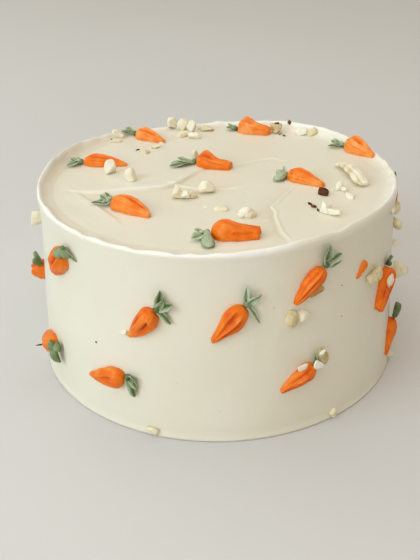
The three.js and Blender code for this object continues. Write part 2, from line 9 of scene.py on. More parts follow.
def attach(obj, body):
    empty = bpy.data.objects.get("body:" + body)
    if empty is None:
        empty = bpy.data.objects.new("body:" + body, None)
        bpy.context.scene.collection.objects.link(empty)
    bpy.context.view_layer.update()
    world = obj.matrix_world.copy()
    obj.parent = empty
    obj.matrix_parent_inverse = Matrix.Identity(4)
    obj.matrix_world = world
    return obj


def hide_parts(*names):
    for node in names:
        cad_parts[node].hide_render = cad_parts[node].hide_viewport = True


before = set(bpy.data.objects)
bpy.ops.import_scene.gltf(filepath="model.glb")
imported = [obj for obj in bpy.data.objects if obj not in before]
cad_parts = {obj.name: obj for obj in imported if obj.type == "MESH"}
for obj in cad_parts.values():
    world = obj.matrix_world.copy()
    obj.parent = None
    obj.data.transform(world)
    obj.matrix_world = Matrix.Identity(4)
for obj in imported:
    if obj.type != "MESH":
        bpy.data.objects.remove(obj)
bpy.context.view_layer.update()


# THE FROSTING. Cream cheese buttercream over the stacked crumb, smoothed on a turntable with a bench scraper.
# The scraper pushed a wavy rim up round the top edge, and the spatula drew it in over the top and left
# low ledges where each stroke ended. All lengths of the cake and its toppings are in millimetres here.
MM = 0.001
CAKE_HEIGHT = 101.0
TOP_HEIGHT = 97.8
FLAT_RADIUS = 87.1
COLUMNS = 480
TOP_RINGS = 128
# How much higher the top stands for each millimetre to the right and to the back.
LEAN = (0.012, 0.011)
# How the side is out of round: how many waves go round, how high they are, and their shift in radians.
OUT_OF_ROUND = [(2, 0.22, 0.8), (5, 0.16, 2.1)]

# The outline from the foot over the rim to the flat top, as radius and height, and the rows in each span.
FROSTING_OUTLINE = [
    (100.0, 0.0), (99.2, 2.5), (98.8, 8.0), (96.9, 45.45), (94.75, 86.86), (94.8, 92.0),
    (95.05, 95.9), (95.35, 98.3), (95.1, 99.9), (94.1, 101.0), (93.1, 100.55), (91.9, 99.4), (90.2, 98.5),
    (FLAT_RADIUS, TOP_HEIGHT),
]
ROWS_IN_SPAN = [3, 5, 26, 28, 4, 5, 5, 4, 4, 4, 4, 4, 5]

# How the rim rises: long waves as their number round the cake, their height and the angle of a crest, and
# short bumps as their angle, height and spread. Angles are in degrees from the front round by the right.
RIM_WAVES = [(2, 1.3, 77), (3, 1.4, 21), (4, 0.7, 59)]
RIM_BUMPS = [(-135, 0.5, 4), (-121, 0.4, 4), (-21, -0.5, 3), (24, 0.4, 4), (152, 0.4, 6), (179, 0.9, 1.6)]

# The spatula's ledges: the height, how far the steep and the gentle side reach, how far the hollow below the
# steep side does, and the line of the crest, which has the steep side on its right.
LEDGES = [
    (1.7, 1.2, 9.0, 6.0,
     [(-75, -13.5), (-64, -15.5), (-51, -14.5), (-38, -12.8), (-27, -10.3), (-21, -5.4), (-16, 2), (-7, 16)]),
    (0.9, 2.2, 8.0, 6.0, [(-48, -53), (-55.6, -42), (-63, -30.4), (-69.4, -22), (-74, -14)]),
    (0.6, 1.5, 4.0, 3.0, [(10, 16), (17.3, 22.8), (24.9, 27.6), (32.9, 28.9), (37, 25)]),
    (1.4, 0.9, 1.1, 3.0,
     [(41, -13), (37, -21.5), (33, -29), (29.5, -36), (27.3, -40), (28.3, -44), (29, -49)]),
    (1.4, 0.9, 1.1, 3.0, [(28.6, -45), (28.4, -53), (29.2, -61.5), (30, -69), (32, -75), (34, -82)]),
    (1.1, 0.9, 1.2, 1.6, [(29, -49.6), (25, -55), (21, -56.5), (16, -57.8)]),
    (0.6, 1.6, 3.0, 2.5, [(-2, -14.5), (6, -15), (14, -12.4)]),
    (0.7, 1.4, 3.0, 4.0, [(-26, -4), (-15, -11), (-8, -15)]),
]
# How much of a ledge's height its crest stands proud, and how much its hollow lies below.
CREST_SHARE = 0.55
HOLLOW_SHARE = 0.6

# The relief all over: how large the slow swells and the quick wrinkles are, and how deep each of them and the
# spatula's fine streaks go.
SWELL_SIZE = 34.0
WRINKLE_SIZE = 9.0
SIDE_SWELL = 0.32
TOP_SWELL = 0.3
WRINKLE = 0.07
STREAK = 0.03
# The rim's relief: its middle radius and spread, its nicks' size and depth, its gouges' size and their depth
# in nicks, its wrinkles' depth, and how it sways in and out, as depth, lump size and seed.
RIM_RADIUS = 92.5
RIM_SPREAD = 3.4
NICK_SIZE = 6.0
NICK = 0.7
GOUGE_SIZE = 7.0
GOUGE = 1.6
RIM_WRINKLE = 0.2
RIM_SWAY = [(0.7, 10.0, 3), (0.5, 26.0, 6)]
# Over how many rows below the crest the top's relief fades in and the side's fades out, over what height the
# side's fades in at the foot, and over what width the top's does inside the rim, where the ledges end.
TOP_FADE_ROWS = 6
SIDE_FADE_ROWS = 14
FOOT_FADE = 4
EDGE_FADE = 3
LEDGES_END = 90
# Where the painted shade on the slope inside the rim lies and how far it spreads, and over how many rows the
# rim's crest has a painted highlight.
SLOPE_SHADE_RADIUS = 88
SLOPE_SHADE_SPREAD = 2.4
CREST_HIGHLIGHT_ROWS = 10


def smooth_path(points, steps):
    """A smooth curve through points at unlike distances, with that many steps in each span."""
    p = np.array(points, float)
    span = np.linalg.norm(np.diff(p, axis=0), axis=1)[:, None]
    slope = np.diff(p, axis=0) / span
    inner = (slope[:-1] * span[1:] + slope[1:] * span[:-1]) / (span[1:] + span[:-1])
    bend = np.vstack([slope[0], inner, slope[-1]])
    found = []
    for i, count in enumerate(steps):
        t = np.linspace(0, 1, count, endpoint=False)[:, None]
        found.append(p[i] * (1 + 2 * t) * (1 - t) ** 2 + p[i + 1] * t ** 2 * (3 - 2 * t)
                     + span[i] * t * (1 - t) * (bend[i] * (1 - t) - bend[i + 1] * t))
    return np.vstack([*found, p[-1]])


outline = smooth_path(FROSTING_OUTLINE, ROWS_IN_SPAN)
crest_row = int(np.argmax(outline[:, 1]))
side_curve = outline[:crest_row - 3]
rim_curve = outline[crest_row - 3:][::-1]


def out_of_round(turn):
    """How far the side stands out of a true circle at an angle round the cake, in radians."""
    return sum(high * np.sin(count * turn + shift) for count, high, shift in OUT_OF_ROUND)


def rim_rise(turn):
    """How far the rim stands above its usual height at an angle round the cake."""
    rise = sum(high * np.cos(count * (turn - math.radians(crest))) for count, high, crest in RIM_WAVES)
    for angle, high, spread in RIM_BUMPS:
        away = (np.degrees(turn) - angle + 180) % 360 - 180
        rise = rise + high * np.exp(-(away / spread) ** 2)
    return rise


def uneven_height(turn, height):
    """A height of the outline with the rim's rise, which fades out towards the flat top."""
    return height + rim_rise(turn) * np.maximum(0, height - TOP_HEIGHT) / (CAKE_HEIGHT - TOP_HEIGHT)


def top_height(x, y):
    """How high the frosting stands at a point of the top, without its relief."""
    turn = np.arctan2(x, -y)
    radius = np.hypot(x, y) - out_of_round(turn)
    return uneven_height(turn, np.interp(radius, rim_curve[:, 0], rim_curve[:, 1]))


def side_radius(turn, height):
    """How far out the frosting stands at an angle and height of the side, without its relief."""
    return np.interp(height, side_curve[:, 1], side_curve[:, 0]) + out_of_round(turn)


def leaned(points):
    """The level drawing, sheared so that the cake stands a little taller towards the back and the right."""
    p = np.array(points, float)
    p[:, 2] += p[:, 2] / CAKE_HEIGHT * (LEAN[0] * p[:, 0] + LEAN[1] * p[:, 1])
    return p


def ruffle(points, size, seed=0.0):
    """Smooth noise from -1 to 1 at each point, in lumps of about that size."""
    shift = Vector((seed * 7.31, seed * 3.17, seed * 5.77))
    return np.array([noise.noise(Vector(p) / size + shift) for p in points])


def ledge_rise(x, y):
    """How high the ledges that the spatula left stand at a point of the top."""
    rise = np.zeros_like(x)
    for high, steep, gentle, hollow, line in LEDGES:
        path = smooth_path(line, [10] * (len(line) - 1))
        best = np.full(x.shape, 1e9)
        off = np.zeros_like(x)
        share = np.zeros_like(x)
        reach = np.concatenate([[0], np.cumsum(np.hypot(*np.diff(path, axis=0).T))])
        for (ax, ay), (bx, by), start, end in zip(path[:-1], path[1:], reach[:-1], reach[1:]):
            dx, dy = bx - ax, by - ay
            t = np.clip(((x - ax) * dx + (y - ay) * dy) / (dx * dx + dy * dy), 0, 1)
            rx, ry = x - ax - t * dx, y - ay - t * dy
            distance = np.hypot(rx, ry)
            nearer = distance < best
            best = np.where(nearer, distance, best)
            off = np.where(nearer, np.sign(dx * ry - dy * rx) * distance, off)
            share = np.where(nearer, (start + t * (end - start)) / reach[-1], share)
        along = np.sin(np.pi * np.clip(0.04 + 0.92 * share, 0, 1)) ** 0.6
        before = CREST_SHARE * np.clip(1 - off / gentle, 0, 1) ** 1.4
        scooped = HOLLOW_SHARE * np.clip(-off / steep, 0, 1) * np.exp((off + steep) / hollow)
        after = CREST_SHARE * np.clip(1 + off / steep, 0, 1) - scooped
        rise += high * along * np.where(off < 0, after, before)
    return rise


def mesh_piece(name, points, faces, finish):
    """A smooth-shaded mesh object from points in millimetres on the level cake."""
    mesh = bpy.data.meshes.new(name)
    mesh.from_pydata((leaned(points) * MM).tolist(), [], faces)
    mesh.materials.append(finish)
    mesh.polygons.foreach_set("use_smooth", [True] * len(mesh.polygons))
    mesh.update()
    piece = bpy.data.objects.new(name, mesh)
    bpy.context.scene.collection.objects.link(piece)
    return piece


def mark(piece, name, values):
    """Keeps a number for each point of a mesh, for its finish to read."""
    kept = piece.data.attributes.new(name, "FLOAT", "POINT")
    kept.data.foreach_set("value", np.asarray(values, "f"))


def skin_faces(rings, sides, first_tip, last_tip):
    """Faces of a closed skin over rings of points, with a fan to a tip at each end."""
    faces = []
    for ring in range(rings - 1):
        for side in range(sides):
            a = ring * sides + side
            b = ring * sides + (side + 1) % sides
            faces.append((a, b, b + sides, a + sides))
    last = (rings - 1) * sides
    for side in range(sides):
        after = (side + 1) % sides
        faces.append((first_tip, after, side))
        faces.append((last_tip, last + side, last + after))
    return faces


def add_node(tree, kind, inputs=None, **settings):
    """A shader node with its settings, and its inputs given as values or as sockets to link."""
    made = tree.nodes.new("ShaderNode" + kind)
    for name, value in settings.items():
        setattr(made, name, value)
    for name, value in (inputs or {}).items():
        if isinstance(value, bpy.types.NodeSocket):
            tree.links.new(value, made.inputs[name])
        else:
            made.inputs[name].default_value = value
    return made


def color_ramp(tree, factor, stops):
    """Colours that blend along a factor, each stop given as its place from 0 to 1 and its colour."""
    ramp = add_node(tree, "ValToRGB", {"Fac": factor})
    elements = ramp.color_ramp.elements
    while len(elements) < len(stops):
        elements.new(0.5)
    for element, (place, color) in zip(elements, stops):
        element.position = place
        element.color = (*color, 1)
    return ramp.outputs["Color"]


def new_finish(name, roughness, **shader):
    """A Principled material with its own node tree, its shader node and its object coordinates."""
    finish = bpy.data.materials.new(name)
    finish.use_nodes = True
    tree = finish.node_tree
    surface = tree.nodes["Principled BSDF"]
    surface.inputs["Roughness"].default_value = roughness
    for socket, value in shader.items():
        surface.inputs[socket.replace("_", " ")].default_value = value
    return finish, tree, surface, add_node(tree, "TexCoord").outputs["Object"]


def noise_texture(tree, place, scale, detail):
    """Soft cloudy noise, finer with a larger scale and rougher with more detail."""
    return add_node(tree, "TexNoise", {"Vector": place, "Scale": scale, "Detail": detail}).outputs["Fac"]


def marked(tree, name):
    """The number that a mesh keeps for each point under that name."""
    return add_node(tree, "Attribute", attribute_name=name).outputs["Fac"]


def scaled_sum(tree, value, scale, rest):
    """A value times a number, with the rest added."""
    return add_node(tree, "Math", {0: value, 1: scale, 2: rest}, operation="MULTIPLY_ADD").outputs[0]


def add_bump(tree, surface, height, strength, depth):
    """Fine relief that only the light shows, to a depth in metres."""
    bump = add_node(tree, "Bump", {"Height": height, "Strength": strength, "Distance": depth})
    tree.links.new(bump.outputs["Normal"], surface.inputs["Normal"])


# From the painted shade of the ledges' hollows and the slope inside the rim, yellow, to the painted highlight
# on the rim's crest, white.
FROSTING_COLORS = [
    (0.0, (0.730, 0.680, 0.500)), (0.3, (0.784, 0.742, 0.592)), (0.7, (0.820, 0.782, 0.650)),
    (0.86, (0.845, 0.815, 0.700)), (1.0, (0.905, 0.890, 0.825)),
]


def frosting_finish():
    """Matt and a little translucent, with the scraper's level drag marks, fine grain, a few air pits, and
    painted light and shade.
    """
    finish, tree, surface, place = new_finish(
        "cream_cheese_frosting", 0.5, Subsurface_Weight=0.25, Subsurface_Radius=(1.0, 0.72, 0.45),
        Subsurface_Scale=0.0025)
    broad = noise_texture(tree, place, 17.0, 3.0)
    # The "hollow" mark is painted light and shade: darker in hollows, paler on crests and raised ledges.
    frosting_tone_and_painted_light = scaled_sum(tree, marked(tree, "hollow"), -0.5, broad)
    color = color_ramp(tree, frosting_tone_and_painted_light, FROSTING_COLORS)
    tree.links.new(color, surface.inputs["Base Color"])
    drawn = add_node(tree, "Mapping", {"Vector": place, "Scale": (5.0, 5.0, 260.0)}).outputs["Vector"]
    drag = noise_texture(tree, drawn, 1.0, 4.0)
    grain = noise_texture(tree, place, 420.0, 5.0)
    lumps = noise_texture(tree, place, 60.0, 2.0)
    marks = scaled_sum(tree, grain, 0.22, scaled_sum(tree, drag, 0.5, lumps))
    cell = add_node(tree, "TexVoronoi", {"Vector": place, "Scale": 95.0}).outputs["Distance"]
    pit = add_node(tree, "MapRange", {"Value": cell, "From Min": 0.0, "From Max": 0.06, "To Min": -1.6,
                                      "To Max": 0.0}).outputs["Result"]
    relief = add_node(tree, "Math", {0: marks, 1: pit}, operation="ADD").outputs[0]
    add_bump(tree, surface, relief, 0.5, 0.0004)
    shine = add_node(tree, "MapRange", {"Value": lumps, "To Min": 0.34, "To Max": 0.5}).outputs["Result"]
    tree.links.new(shine, surface.inputs["Roughness"])
    return finish


frosting = frosting_finish()


def frosting_rings():
    """The scraped form before its relief, ring by ring from the foot to near the middle of the top."""
    turn = np.arange(COLUMNS) * 2 * math.pi / COLUMNS
    rings = []
    for radius, height in outline:
        r = radius + out_of_round(turn)
        rings.append(np.stack([r * np.sin(turn), -r * np.cos(turn), uneven_height(turn, height)], 1))
    for share in np.linspace(1, 0, TOP_RINGS + 1)[1:-1]:
        r = (FLAT_RADIUS + out_of_round(turn)) * share
        rings.append(np.stack([r * np.sin(turn), -r * np.cos(turn), np.full(COLUMNS, TOP_HEIGHT)], 1))
    return rings


def frosted_cake():
    """The cake with the scraper's swells, the nicks of the rim and the spatula's ledges in it."""
    rings = frosting_rings()
    points = np.vstack([*rings, [[0, 0, 0], [0, 0, TOP_HEIGHT]]])
    x, y, z = points.T
    radius = np.hypot(x, y)
    around = np.stack([x / radius.clip(1), y / radius.clip(1)], 1)
    row = np.arange(len(points)) // COLUMNS
    on_top = np.clip((row - crest_row + TOP_FADE_ROWS) / TOP_FADE_ROWS, 0, 1)
    on_side = np.clip(z / FOOT_FADE, 0, 1) * np.clip((crest_row - row) / SIDE_FADE_ROWS, 0, 1)
    slow = ruffle(points, SWELL_SIZE)
    quick = ruffle(points * [1, 1, 0.5], WRINKLE_SIZE, 1)
    swell = on_side * (SIDE_SWELL * slow + WRINKLE * quick)
    points[:, :2] += around * swell[:, None]
    rim = np.exp(-((radius - RIM_RADIUS) / RIM_SPREAD) ** 2) * on_top
    nick = ruffle(points, NICK_SIZE, 2)
    nick -= GOUGE * np.clip(ruffle(points, GOUGE_SIZE, 8) - 0.22, 0, 1)
    inner = np.clip((FLAT_RADIUS - radius) / EDGE_FADE, 0, 1)
    ledges = ledge_rise(x, y) * on_top * np.clip((LEDGES_END - radius) / EDGE_FADE, 0, 1)
    points[:, 2] += ledges
    drawn = ruffle(np.stack([radius / 5.5, np.unwrap(np.arctan2(y, x)) * 1.1, 0 * x], 1), 1.0, 4)
    points[:, 2] += (on_top * inner * (TOP_SWELL * slow + WRINKLE * quick + STREAK * drawn)
                     + rim * (NICK * nick + RIM_WRINKLE * quick))
    sway = sum(depth * ruffle(points, size, seed) for depth, size, seed in RIM_SWAY)
    points[:, :2] += around * (rim * sway)[:, None]
    faces = skin_faces(len(rings), COLUMNS, len(points) - 2, len(points) - 1)
    piece = mesh_piece("frosting", points, faces, frosting)
    # Painted light and shade for the "hollow" mark: painted shade in the ledges' hollows and on the slope
    # inside the rim, and painted highlight on raised ledges and on the rim's crest.
    slope = np.exp(-((radius - SLOPE_SHADE_RADIUS) / SLOPE_SHADE_SPREAD) ** 2) * on_top
    crest = np.exp(-((row - crest_row) / CREST_HIGHLIGHT_ROWS) ** 2)
    tone = np.clip(-ledges, 0, 1) - 0.8 * np.clip(ledges, 0, 1) + 0.25 * slope - 0.95 * crest
    mark(piece, "hollow", tone)
    return piece


cake = frosted_cake()
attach(cake, "root")
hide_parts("cake")


# THE CARROTS' ORANGE BODIES. Orange buttercream squeezed from a small leaf tip in two or three passes side by
# side: thick and round at the shoulder, folded over itself where the passes meet, and pulled off to a thin or
# torn tip.
WAIST_RADIUS = 96.9
# How deep a body sinks into the frosting, the share of its length that the round shoulder takes, and the
# share of its height at which it is widest.
SINK = 0.35
SHOULDER_END = 0.3
BELLY = 0.22


def spot_on_top(x, y, heading):
    """Turns u along a piece, v to its left and h off the frosting into points on the top."""
    cos, sin = math.cos(math.radians(heading)), math.sin(math.radians(heading))

    def at(u, v, h):
        px, py = x + u * cos - v * sin, y + u * sin + v * cos
        return np.stack([px, py, top_height(px, py) + h], -1)
    return at


def spot_on_side(angle, height, heading):
    """The same on the side, at an angle round the axis and a height."""
    cos, sin = math.cos(math.radians(heading)), math.sin(math.radians(heading))

    def at(u, v, h):
        turn = math.radians(angle) + (u * cos - v * sin) / WAIST_RADIUS
        up = height + u * sin + v * cos
        r = side_radius(turn, up) + h
        return np.stack([r * np.sin(turn), -r * np.cos(turn), up], -1)
    return at


# The folds of each kind of body: the angle round the dome from its left edge, how far the fold drifts over
# the length, its depth, the shares of the length where it starts and ends, and which side of it lies lower:
# 1 is the side past it, -1 the side before it, and 0 means a plain crease.
FOLDS = {
    "far fold": [(85, -6, 0.44, 0.12, 0.96, 0), (132, 12, 0.1, 0.25, 0.85, 1)],
    "high fold": [(94, -8, 0.5, 0.1, 0.85, 1), (146, 8, 0.1, 0.3, 0.9, 1)],
    "short fold": [(94, 0, 0.5, 0.06, 0.6, 1), (146, 8, 0.1, 0.45, 0.95, 1)],
    "smooth": [(86, 0, 0.26, 0.2, 0.55, 0), (148, -8, 0.12, 0.5, 0.95, 1)],
    "split": [(92, 6, 0.5, -0.1, 0.66, 0), (142, 5, 0.18, 0.2, 0.8, 1), (44, 5, 0.16, 0.3, 0.8, -1)],
    "crescent": [(102, -18, 0.4, 0.18, 0.78, -1), (144, 6, 0.18, 0.1, 0.6, 0), (66, 10, 0.16, 0.4, 0.95, 0)],
    "side fold": [(74, -30, 0.42, 0.2, 0.68, -1), (130, -18, 0.28, 0.02, 0.74, 1),
                  (100, 4, 0.14, 0.5, 0.95, 0)],
    "triple": [(114, -12, 0.38, 0.08, 0.84, -1), (66, 8, 0.38, 0.12, 0.95, -1), (146, 0, 0.14, 0.1, 0.6, 1)],
    "strands": [(64, -12, 0.44, 0.2, 0.97, -1), (100, -6, 0.26, 0.06, 0.94, -1), (136, 4, 0.2, 0.06, 0.8, 1)],
    "low fold": [(76, 8, 0.44, 0.26, 0.93, -1), (124, 6, 0.2, 0.06, 0.75, 0), (100, 0, 0.1, 0.5, 0.95, 0)],
    "plain": [(58, 12, 0.26, 0.3, 0.8, -1), (136, -20, 0.18, 0.5, 0.95, 1), (96, 8, 0.12, 0.1, 0.6, 0)],
}
# A pit where the tip let go: the share along the body, the angle round it, its radius and its depth.
PITS = {
    "top_4": [(0.1, 150, 0.45, 0.8), (0.14, 124, 0.35, 0.6), (0.2, 160, 0.3, 0.5)],
    "top_6": [(0.2, 142, 0.4, 0.7), (0.16, 116, 0.35, 0.6), (0.4, 150, 0.3, 0.5)],
    "top_7": [(0.52, 116, 0.5, 0.8), (0.8, 150, 0.35, 0.5)],
    "top_8": [(0.5, 154, 0.4, 0.7), (0.86, 142, 0.3, 0.5)],
    "side_5": [(0.26, 78, 0.7, 1.8)], "side_7": [(0.24, 62, 0.65, 1.7)], "side_15": [(0.3, 110, 0.6, 0.9)],
}
# How much paler a body is painted, a painted sheen where the light falls on it. Below 0 it is deeper, painted
# shade.
PAINTED_SHEEN_AND_SHADE = {"top_1": 0.6, "top_2": 0.3, "top_3": 0.4, "top_4": 0.1, "top_5": 0.7, "top_6": 0.3, "top_7": 0.7,
         "side_7": -0.1, "side_9": -0.2}
# How much narrower some bodies are two thirds along, and as much taller before that.
NECKS = {"top_4": 0.18, "top_5": 0.1, "top_8": 0.08}
# How long a body keeps its width before it tapers: 1 is an even taper.
USUAL_TAPER = 1.8
TAPERS = {
    "top_1": 1.5, "top_6": 1.3, "top_7": 1.2, "side_4": 1.4, "side_6": 1.5, "side_7": 1.7, "side_8": 1.4,
    "side_9": 1.2, "side_10": 1.2,
}
# Each carrot: its place, its body and its leaves. The place is x and y of the shoulder, or the angle round
# the cake and the height, and then the heading: 0 points right, and 90 to the back or up. The body is its
# length, width and rise, its kind of fold, how wide its tip stays, and its bend to the left. Each leaf is its
# angle from straight back, its length and width, how far its tip rises, and its form where that is a drop.
TOP_CARROTS = [
    ((-49, 73.4, -39), (22, 10, 6.8, "high fold", 0.2, 0.6),
     [(44, 8.5, 3.4, 0.5), (16, 7, 3.4, 1.2)]),
    ((-75.3, 26.5, -12), (25.4, 9.8, 6.2, "high fold", 0.12, 0.8),
     [(56, 9.5, 4.6, 0.4), (-9, 6.6, 4.6, 1.6), (20, 6, 4.2, 1.8)]),
    ((-52, -33, -41), (25.8, 12.2, 7, "far fold", 0.26, 0.8),
     [(45, 10, 4, 0.4), (8, 7.6, 4, 1.8), (-26, 7, 3.8, 2.6), (88, 5, 3.8, 0.2)]),
    ((-11, 21.8, -24), (20.8, 9.8, 7.4, "short fold", 0.62, -0.9),
     [(52, 15, 4.1, 0.3), (32, 13, 3.7, 1), (10, 10, 3.4, 1.6)]),
    ((14, 79, -23), (20.4, 10.2, 9, "short fold", 0.58, -0.6),
     [(-25, 6, 3.4, 2.4), (20, 6, 3.9, 0.8)]),
    ((38.6, -1.5, -41), (22.4, 10.4, 6.6, "far fold", 0.24, 0.6),
     [(98, 10, 5.4, 0.4, "drop"), (48, 5.6, 5.2, 1.8, "drop"), (-34, 5.5, 2.5, 3)]),
    ((76, 42.5, -58), (22.8, 10.4, 8.4, "split", 0.1, 0.6),
     [(64, 10, 4.1, 0.8), (32, 8.5, 4.4, 1.8), (8, 6, 2.8, 2.6)]),
    ((-2.8, -71, -6), (22.2, 12.8, 7.6, "smooth", 0.64, -0.5),
     [(58, 10.4, 5, 1), (96, 15, 6, 0.2, "drop"), (22, 6, 3.2, 2.4)]),
]
SIDE_CARROTS = [
    ((-80, 56.5, -125), (15.5, 10, 8, "split", 0.3, 0.4),
     [(36, 7, 4.6, 3.4, "drop"), (-8, 7, 4.4, 4.4, "drop"), (70, 5, 3.6, 2, "drop")]),
    ((-50.8, 84.8, -130), (19, 13, 7, "split", 0.4, 0.3),
     [(-176, 6, 5.6, 2.4, "drop"), (-118, 5.6, 5.6, -1.2, "drop"), (-86, 9, 2.2, -2.4)]),
    ((-60, 24.5, -172), (16.5, 10.8, 7.6, "plain", 0.45, 0.4),
     [(-98, 7.8, 7.4, -1.4, "drop"), (168, 4.6, 6.2, 0.8, "drop"), (30, 3.8, 5.2, 0, "drop")]),
    ((-27.4, 30.4, -163), (22.8, 11.6, 6.2, "crescent", 0.16, 0.5),
     [(-82, 11, 4.3, 0.4), (-18, 6, 3.9, 1.6), (-50, 7, 3.4, 1)]),
    ((-17.4, 70, -131), (20.4, 11.4, 6.4, "side fold", 0.18, 0.5),
     [(24, 10.8, 4, 1.4), (-17, 9, 4.6, 1.8), (4, 7.5, 3.2, 2.6), (-88, 9.5, 3.2, 0.5)]),
    ((7, 73.8, -130), (22.6, 11, 6.2, "triple", 0.2, 0.4),
     [(45, 9.5, 3, 1.4), (-17, 8, 3.4, 1.6), (-107, 12, 2.6, 0.4)]),
    ((30, 86, -133), (20.6, 9.8, 6.2, "strands", 0.22, -0.5),
     [(41, 11, 4.8, 1.4), (-16, 9, 4.4, 1.4), (-56, 9, 2.8, 0.6)]),
    ((27.4, 36.2, -147), (19.6, 9.6, 5.8, "low fold", 0.24, 0.5),
     [(41, 7, 2.5, 1.4), (8, 6, 3.2, 1), (78, 5, 2.5, 1.2)]),
    ((63, 65.4, -124), (21.9, 12.2, 7.4, "strands", 0.58, -0.5),
     [(62, 4.8, 3.9, 0.8), (20, 4.4, 3.7, 1)]),
    ((73, 26.8, -120), (21, 8.6, 5.4, "plain", 0.05, 0.6),
     [(36, 7.4, 6.6, 2, "drop"), (-10, 7, 6.6, 3, "drop"), (72, 6.4, 5.6, 0.8, "drop")]),
    ((93.5, 89, -97), (21, 9.8, 5.6, "far fold", 0.24, 0.4),
     [(20, 7, 3.4, 1), (-26, 7, 3.4, 0.8)]),
    ((103, 53, -140), (22, 10.6, 6.2, "triple", 0.2, 0.5),
     [(40, 8, 3.4, 1.2), (-4, 8.5, 3.7, 1), (-58, 7, 3.2, 0.8)]),
    ((128, 82, -126), (21.5, 11, 6.4, "split", 0.3, -0.4),
     [(34, 8, 3.4, 1.4), (-10, 7.5, 3.7, 1.2), (-60, 8.5, 3, 0.6)]),
    ((126, 27, -158), (23, 11.2, 6.2, "crescent", 0.2, 0.6),
     [(-70, 9, 3.9, 0.6), (-24, 7.5, 3.7, 1.2), (20, 6.5, 3.4, 1.4)]),
    ((157, 64, -133), (22.5, 10.8, 6.4, "side fold", 0.2, 0.5),
     [(38, 8.5, 3.4, 1.4), (0, 8, 3.7, 1.2), (-72, 9, 3, 0.6)]),
    ((168, 25, -146), (21, 10.2, 6, "triple", 0.36, -0.5),
     [(44, 7.5, 3.4, 1), (-6, 8, 3.7, 1.2)]),
    ((186, 87, -128), (20.5, 11.4, 6.6, "far fold", 0.2, 0.4),
     [(40, 7, 3.4, 1.4), (-14, 7.5, 3.7, 1.2), (-66, 8, 3, 0.8)]),
    ((212, 50, -140), (22.5, 10.6, 6.2, "strands", 0.24, 0.5),
     [(36, 8.5, 3.4, 1.2), (-8, 8, 3.7, 1.2), (-60, 7.5, 3.2, 0.8)]),
    ((238, 84, -131), (21.5, 10.8, 6.4, "split", 0.2, -0.4),
     [(30, 8, 3.4, 1.4), (-18, 8.5, 3.4, 1.2), (-74, 8, 3, 0.8)]),
]
# A dab where the tip of the bag touched the side once, with no leaves.
DAB = ((47.6, 79.6, -130), (9.6, 3.8, 2.4, "plain", 0.1, 0.3))

# From the painted shade of the folds, deep orange, to the painted sheen, pale.
ORANGE_COLORS = [
    (0.08, (0.56, 0.066, 0.001)), (0.32, (0.80, 0.138, 0.002)), (0.5, (0.86, 0.185, 0.004)),
    (0.72, (0.90, 0.280, 0.040)), (0.95, (0.93, 0.410, 0.150)),
]


def orange_finish():
    """Smoother and glossier than the frosting, with painted shade in its folds, a painted sheen, and grained
    like all buttercream.
    """
    finish, tree, surface, place = new_finish(
        "orange_buttercream", 0.36, Subsurface_Weight=0.12, Specular_IOR_Level=0.25,
        Subsurface_Radius=(1.0, 0.3, 0.08), Subsurface_Scale=0.0011)
    # The "fold" mark is painted shade in folds, strand grooves and pits; less of it is painted sheen.
    fold = marked(tree, "fold")
    broad = noise_texture(tree, place, 170.0, 5.0)
    color = color_ramp(tree, scaled_sum(tree, fold, -0.34, broad), ORANGE_COLORS)
    tree.links.new(color, surface.inputs["Base Color"])
    grain = noise_texture(tree, place, 900.0, 5.0)
    add_bump(tree, surface, scaled_sum(tree, broad, 1.5, grain), 0.5, 0.0004)
    return finish


orange = orange_finish()


# The rings of a body: where they stand along it, closer together in the shoulder, by which angles the last
# ones close over the blunt tip, and the angles of their points over the dome and on half of the underside.
SHOULDER_STATIONS = SHOULDER_END * (1 - np.cos(np.linspace(0.08, math.pi / 2, 12)))
STATIONS = np.concatenate([SHOULDER_STATIONS, np.linspace(SHOULDER_END, 1, 36)[1:]])
TIP_ROUNDING = (0.45, 0.85, 1.2)
DOME = np.radians(np.linspace(0, 180, 73))
UNDERSIDE = np.radians([15, 40, 65])
UNDERSIDE_POINTS = 2 * len(UNDERSIDE) + 1
# The shares of the length over which a fold opens and closes, the angle from it to the raised lip beside it,
# and that lip's spread.
FOLD_OPENS = 0.12
FOLD_CLOSES = 0.18
LIP_ANGLE = 0.34
LIP_SPREAD = 0.2
# Where along the body its neck and the hump before it are, and how far each spreads.
NECK_AT = 0.66
NECK_SPREAD = 0.17
HUMP_AT = 0.3
HUMP_SPREAD = 0.16
# How uneven a body's two edges are, how far lumps and grain stand out of its skin, and how much painted shade
# darkens the grooves between its strands and its pits, with painted highlight on the strands' ridges.
EDGE_WOBBLE = 0.16
SKIN_LUMPS = 0.22
SKIN_GRAIN = 0.08
STRAND_PAINTED_LIGHT = 1.3
PIT_PAINTED_SHADE = 0.9
# A tip that stays wider than this share is torn off, so its end is flatter: how far each kind is rounded.
TORN_FROM = 0.4
TORN_END = 0.1
DRAWN_END = 0.3


def folds_at(kind, s):
    """How far the folds lower the dome at one station, and how much painted shade they put in it."""
    lower, painted_shade = np.zeros_like(DOME), np.zeros_like(DOME)
    for middle, sway, depth, start, end, slant in FOLDS[kind]:
        window = min(max((s - start) / FOLD_OPENS, 0), 1) * min(max((end - s) / FOLD_CLOSES, 0), 1)
        off = DOME - math.radians(middle + sway * (s - 0.5))
        reach = np.where(off * slant > 0, 0.5, 0.13 if slant else 0.2)
        lip = np.exp(-((np.abs(off) - LIP_ANGLE) / LIP_SPREAD) ** 2) * (off * slant <= 0)
        lower += depth * window * (np.exp(-np.abs(off) / reach) - 0.3 * lip)
        painted_shade += min(1, depth / 0.3) * window * np.exp(-np.abs(off) / np.where(off * slant > 0, 0.26, 0.12))
    return lower, painted_shade


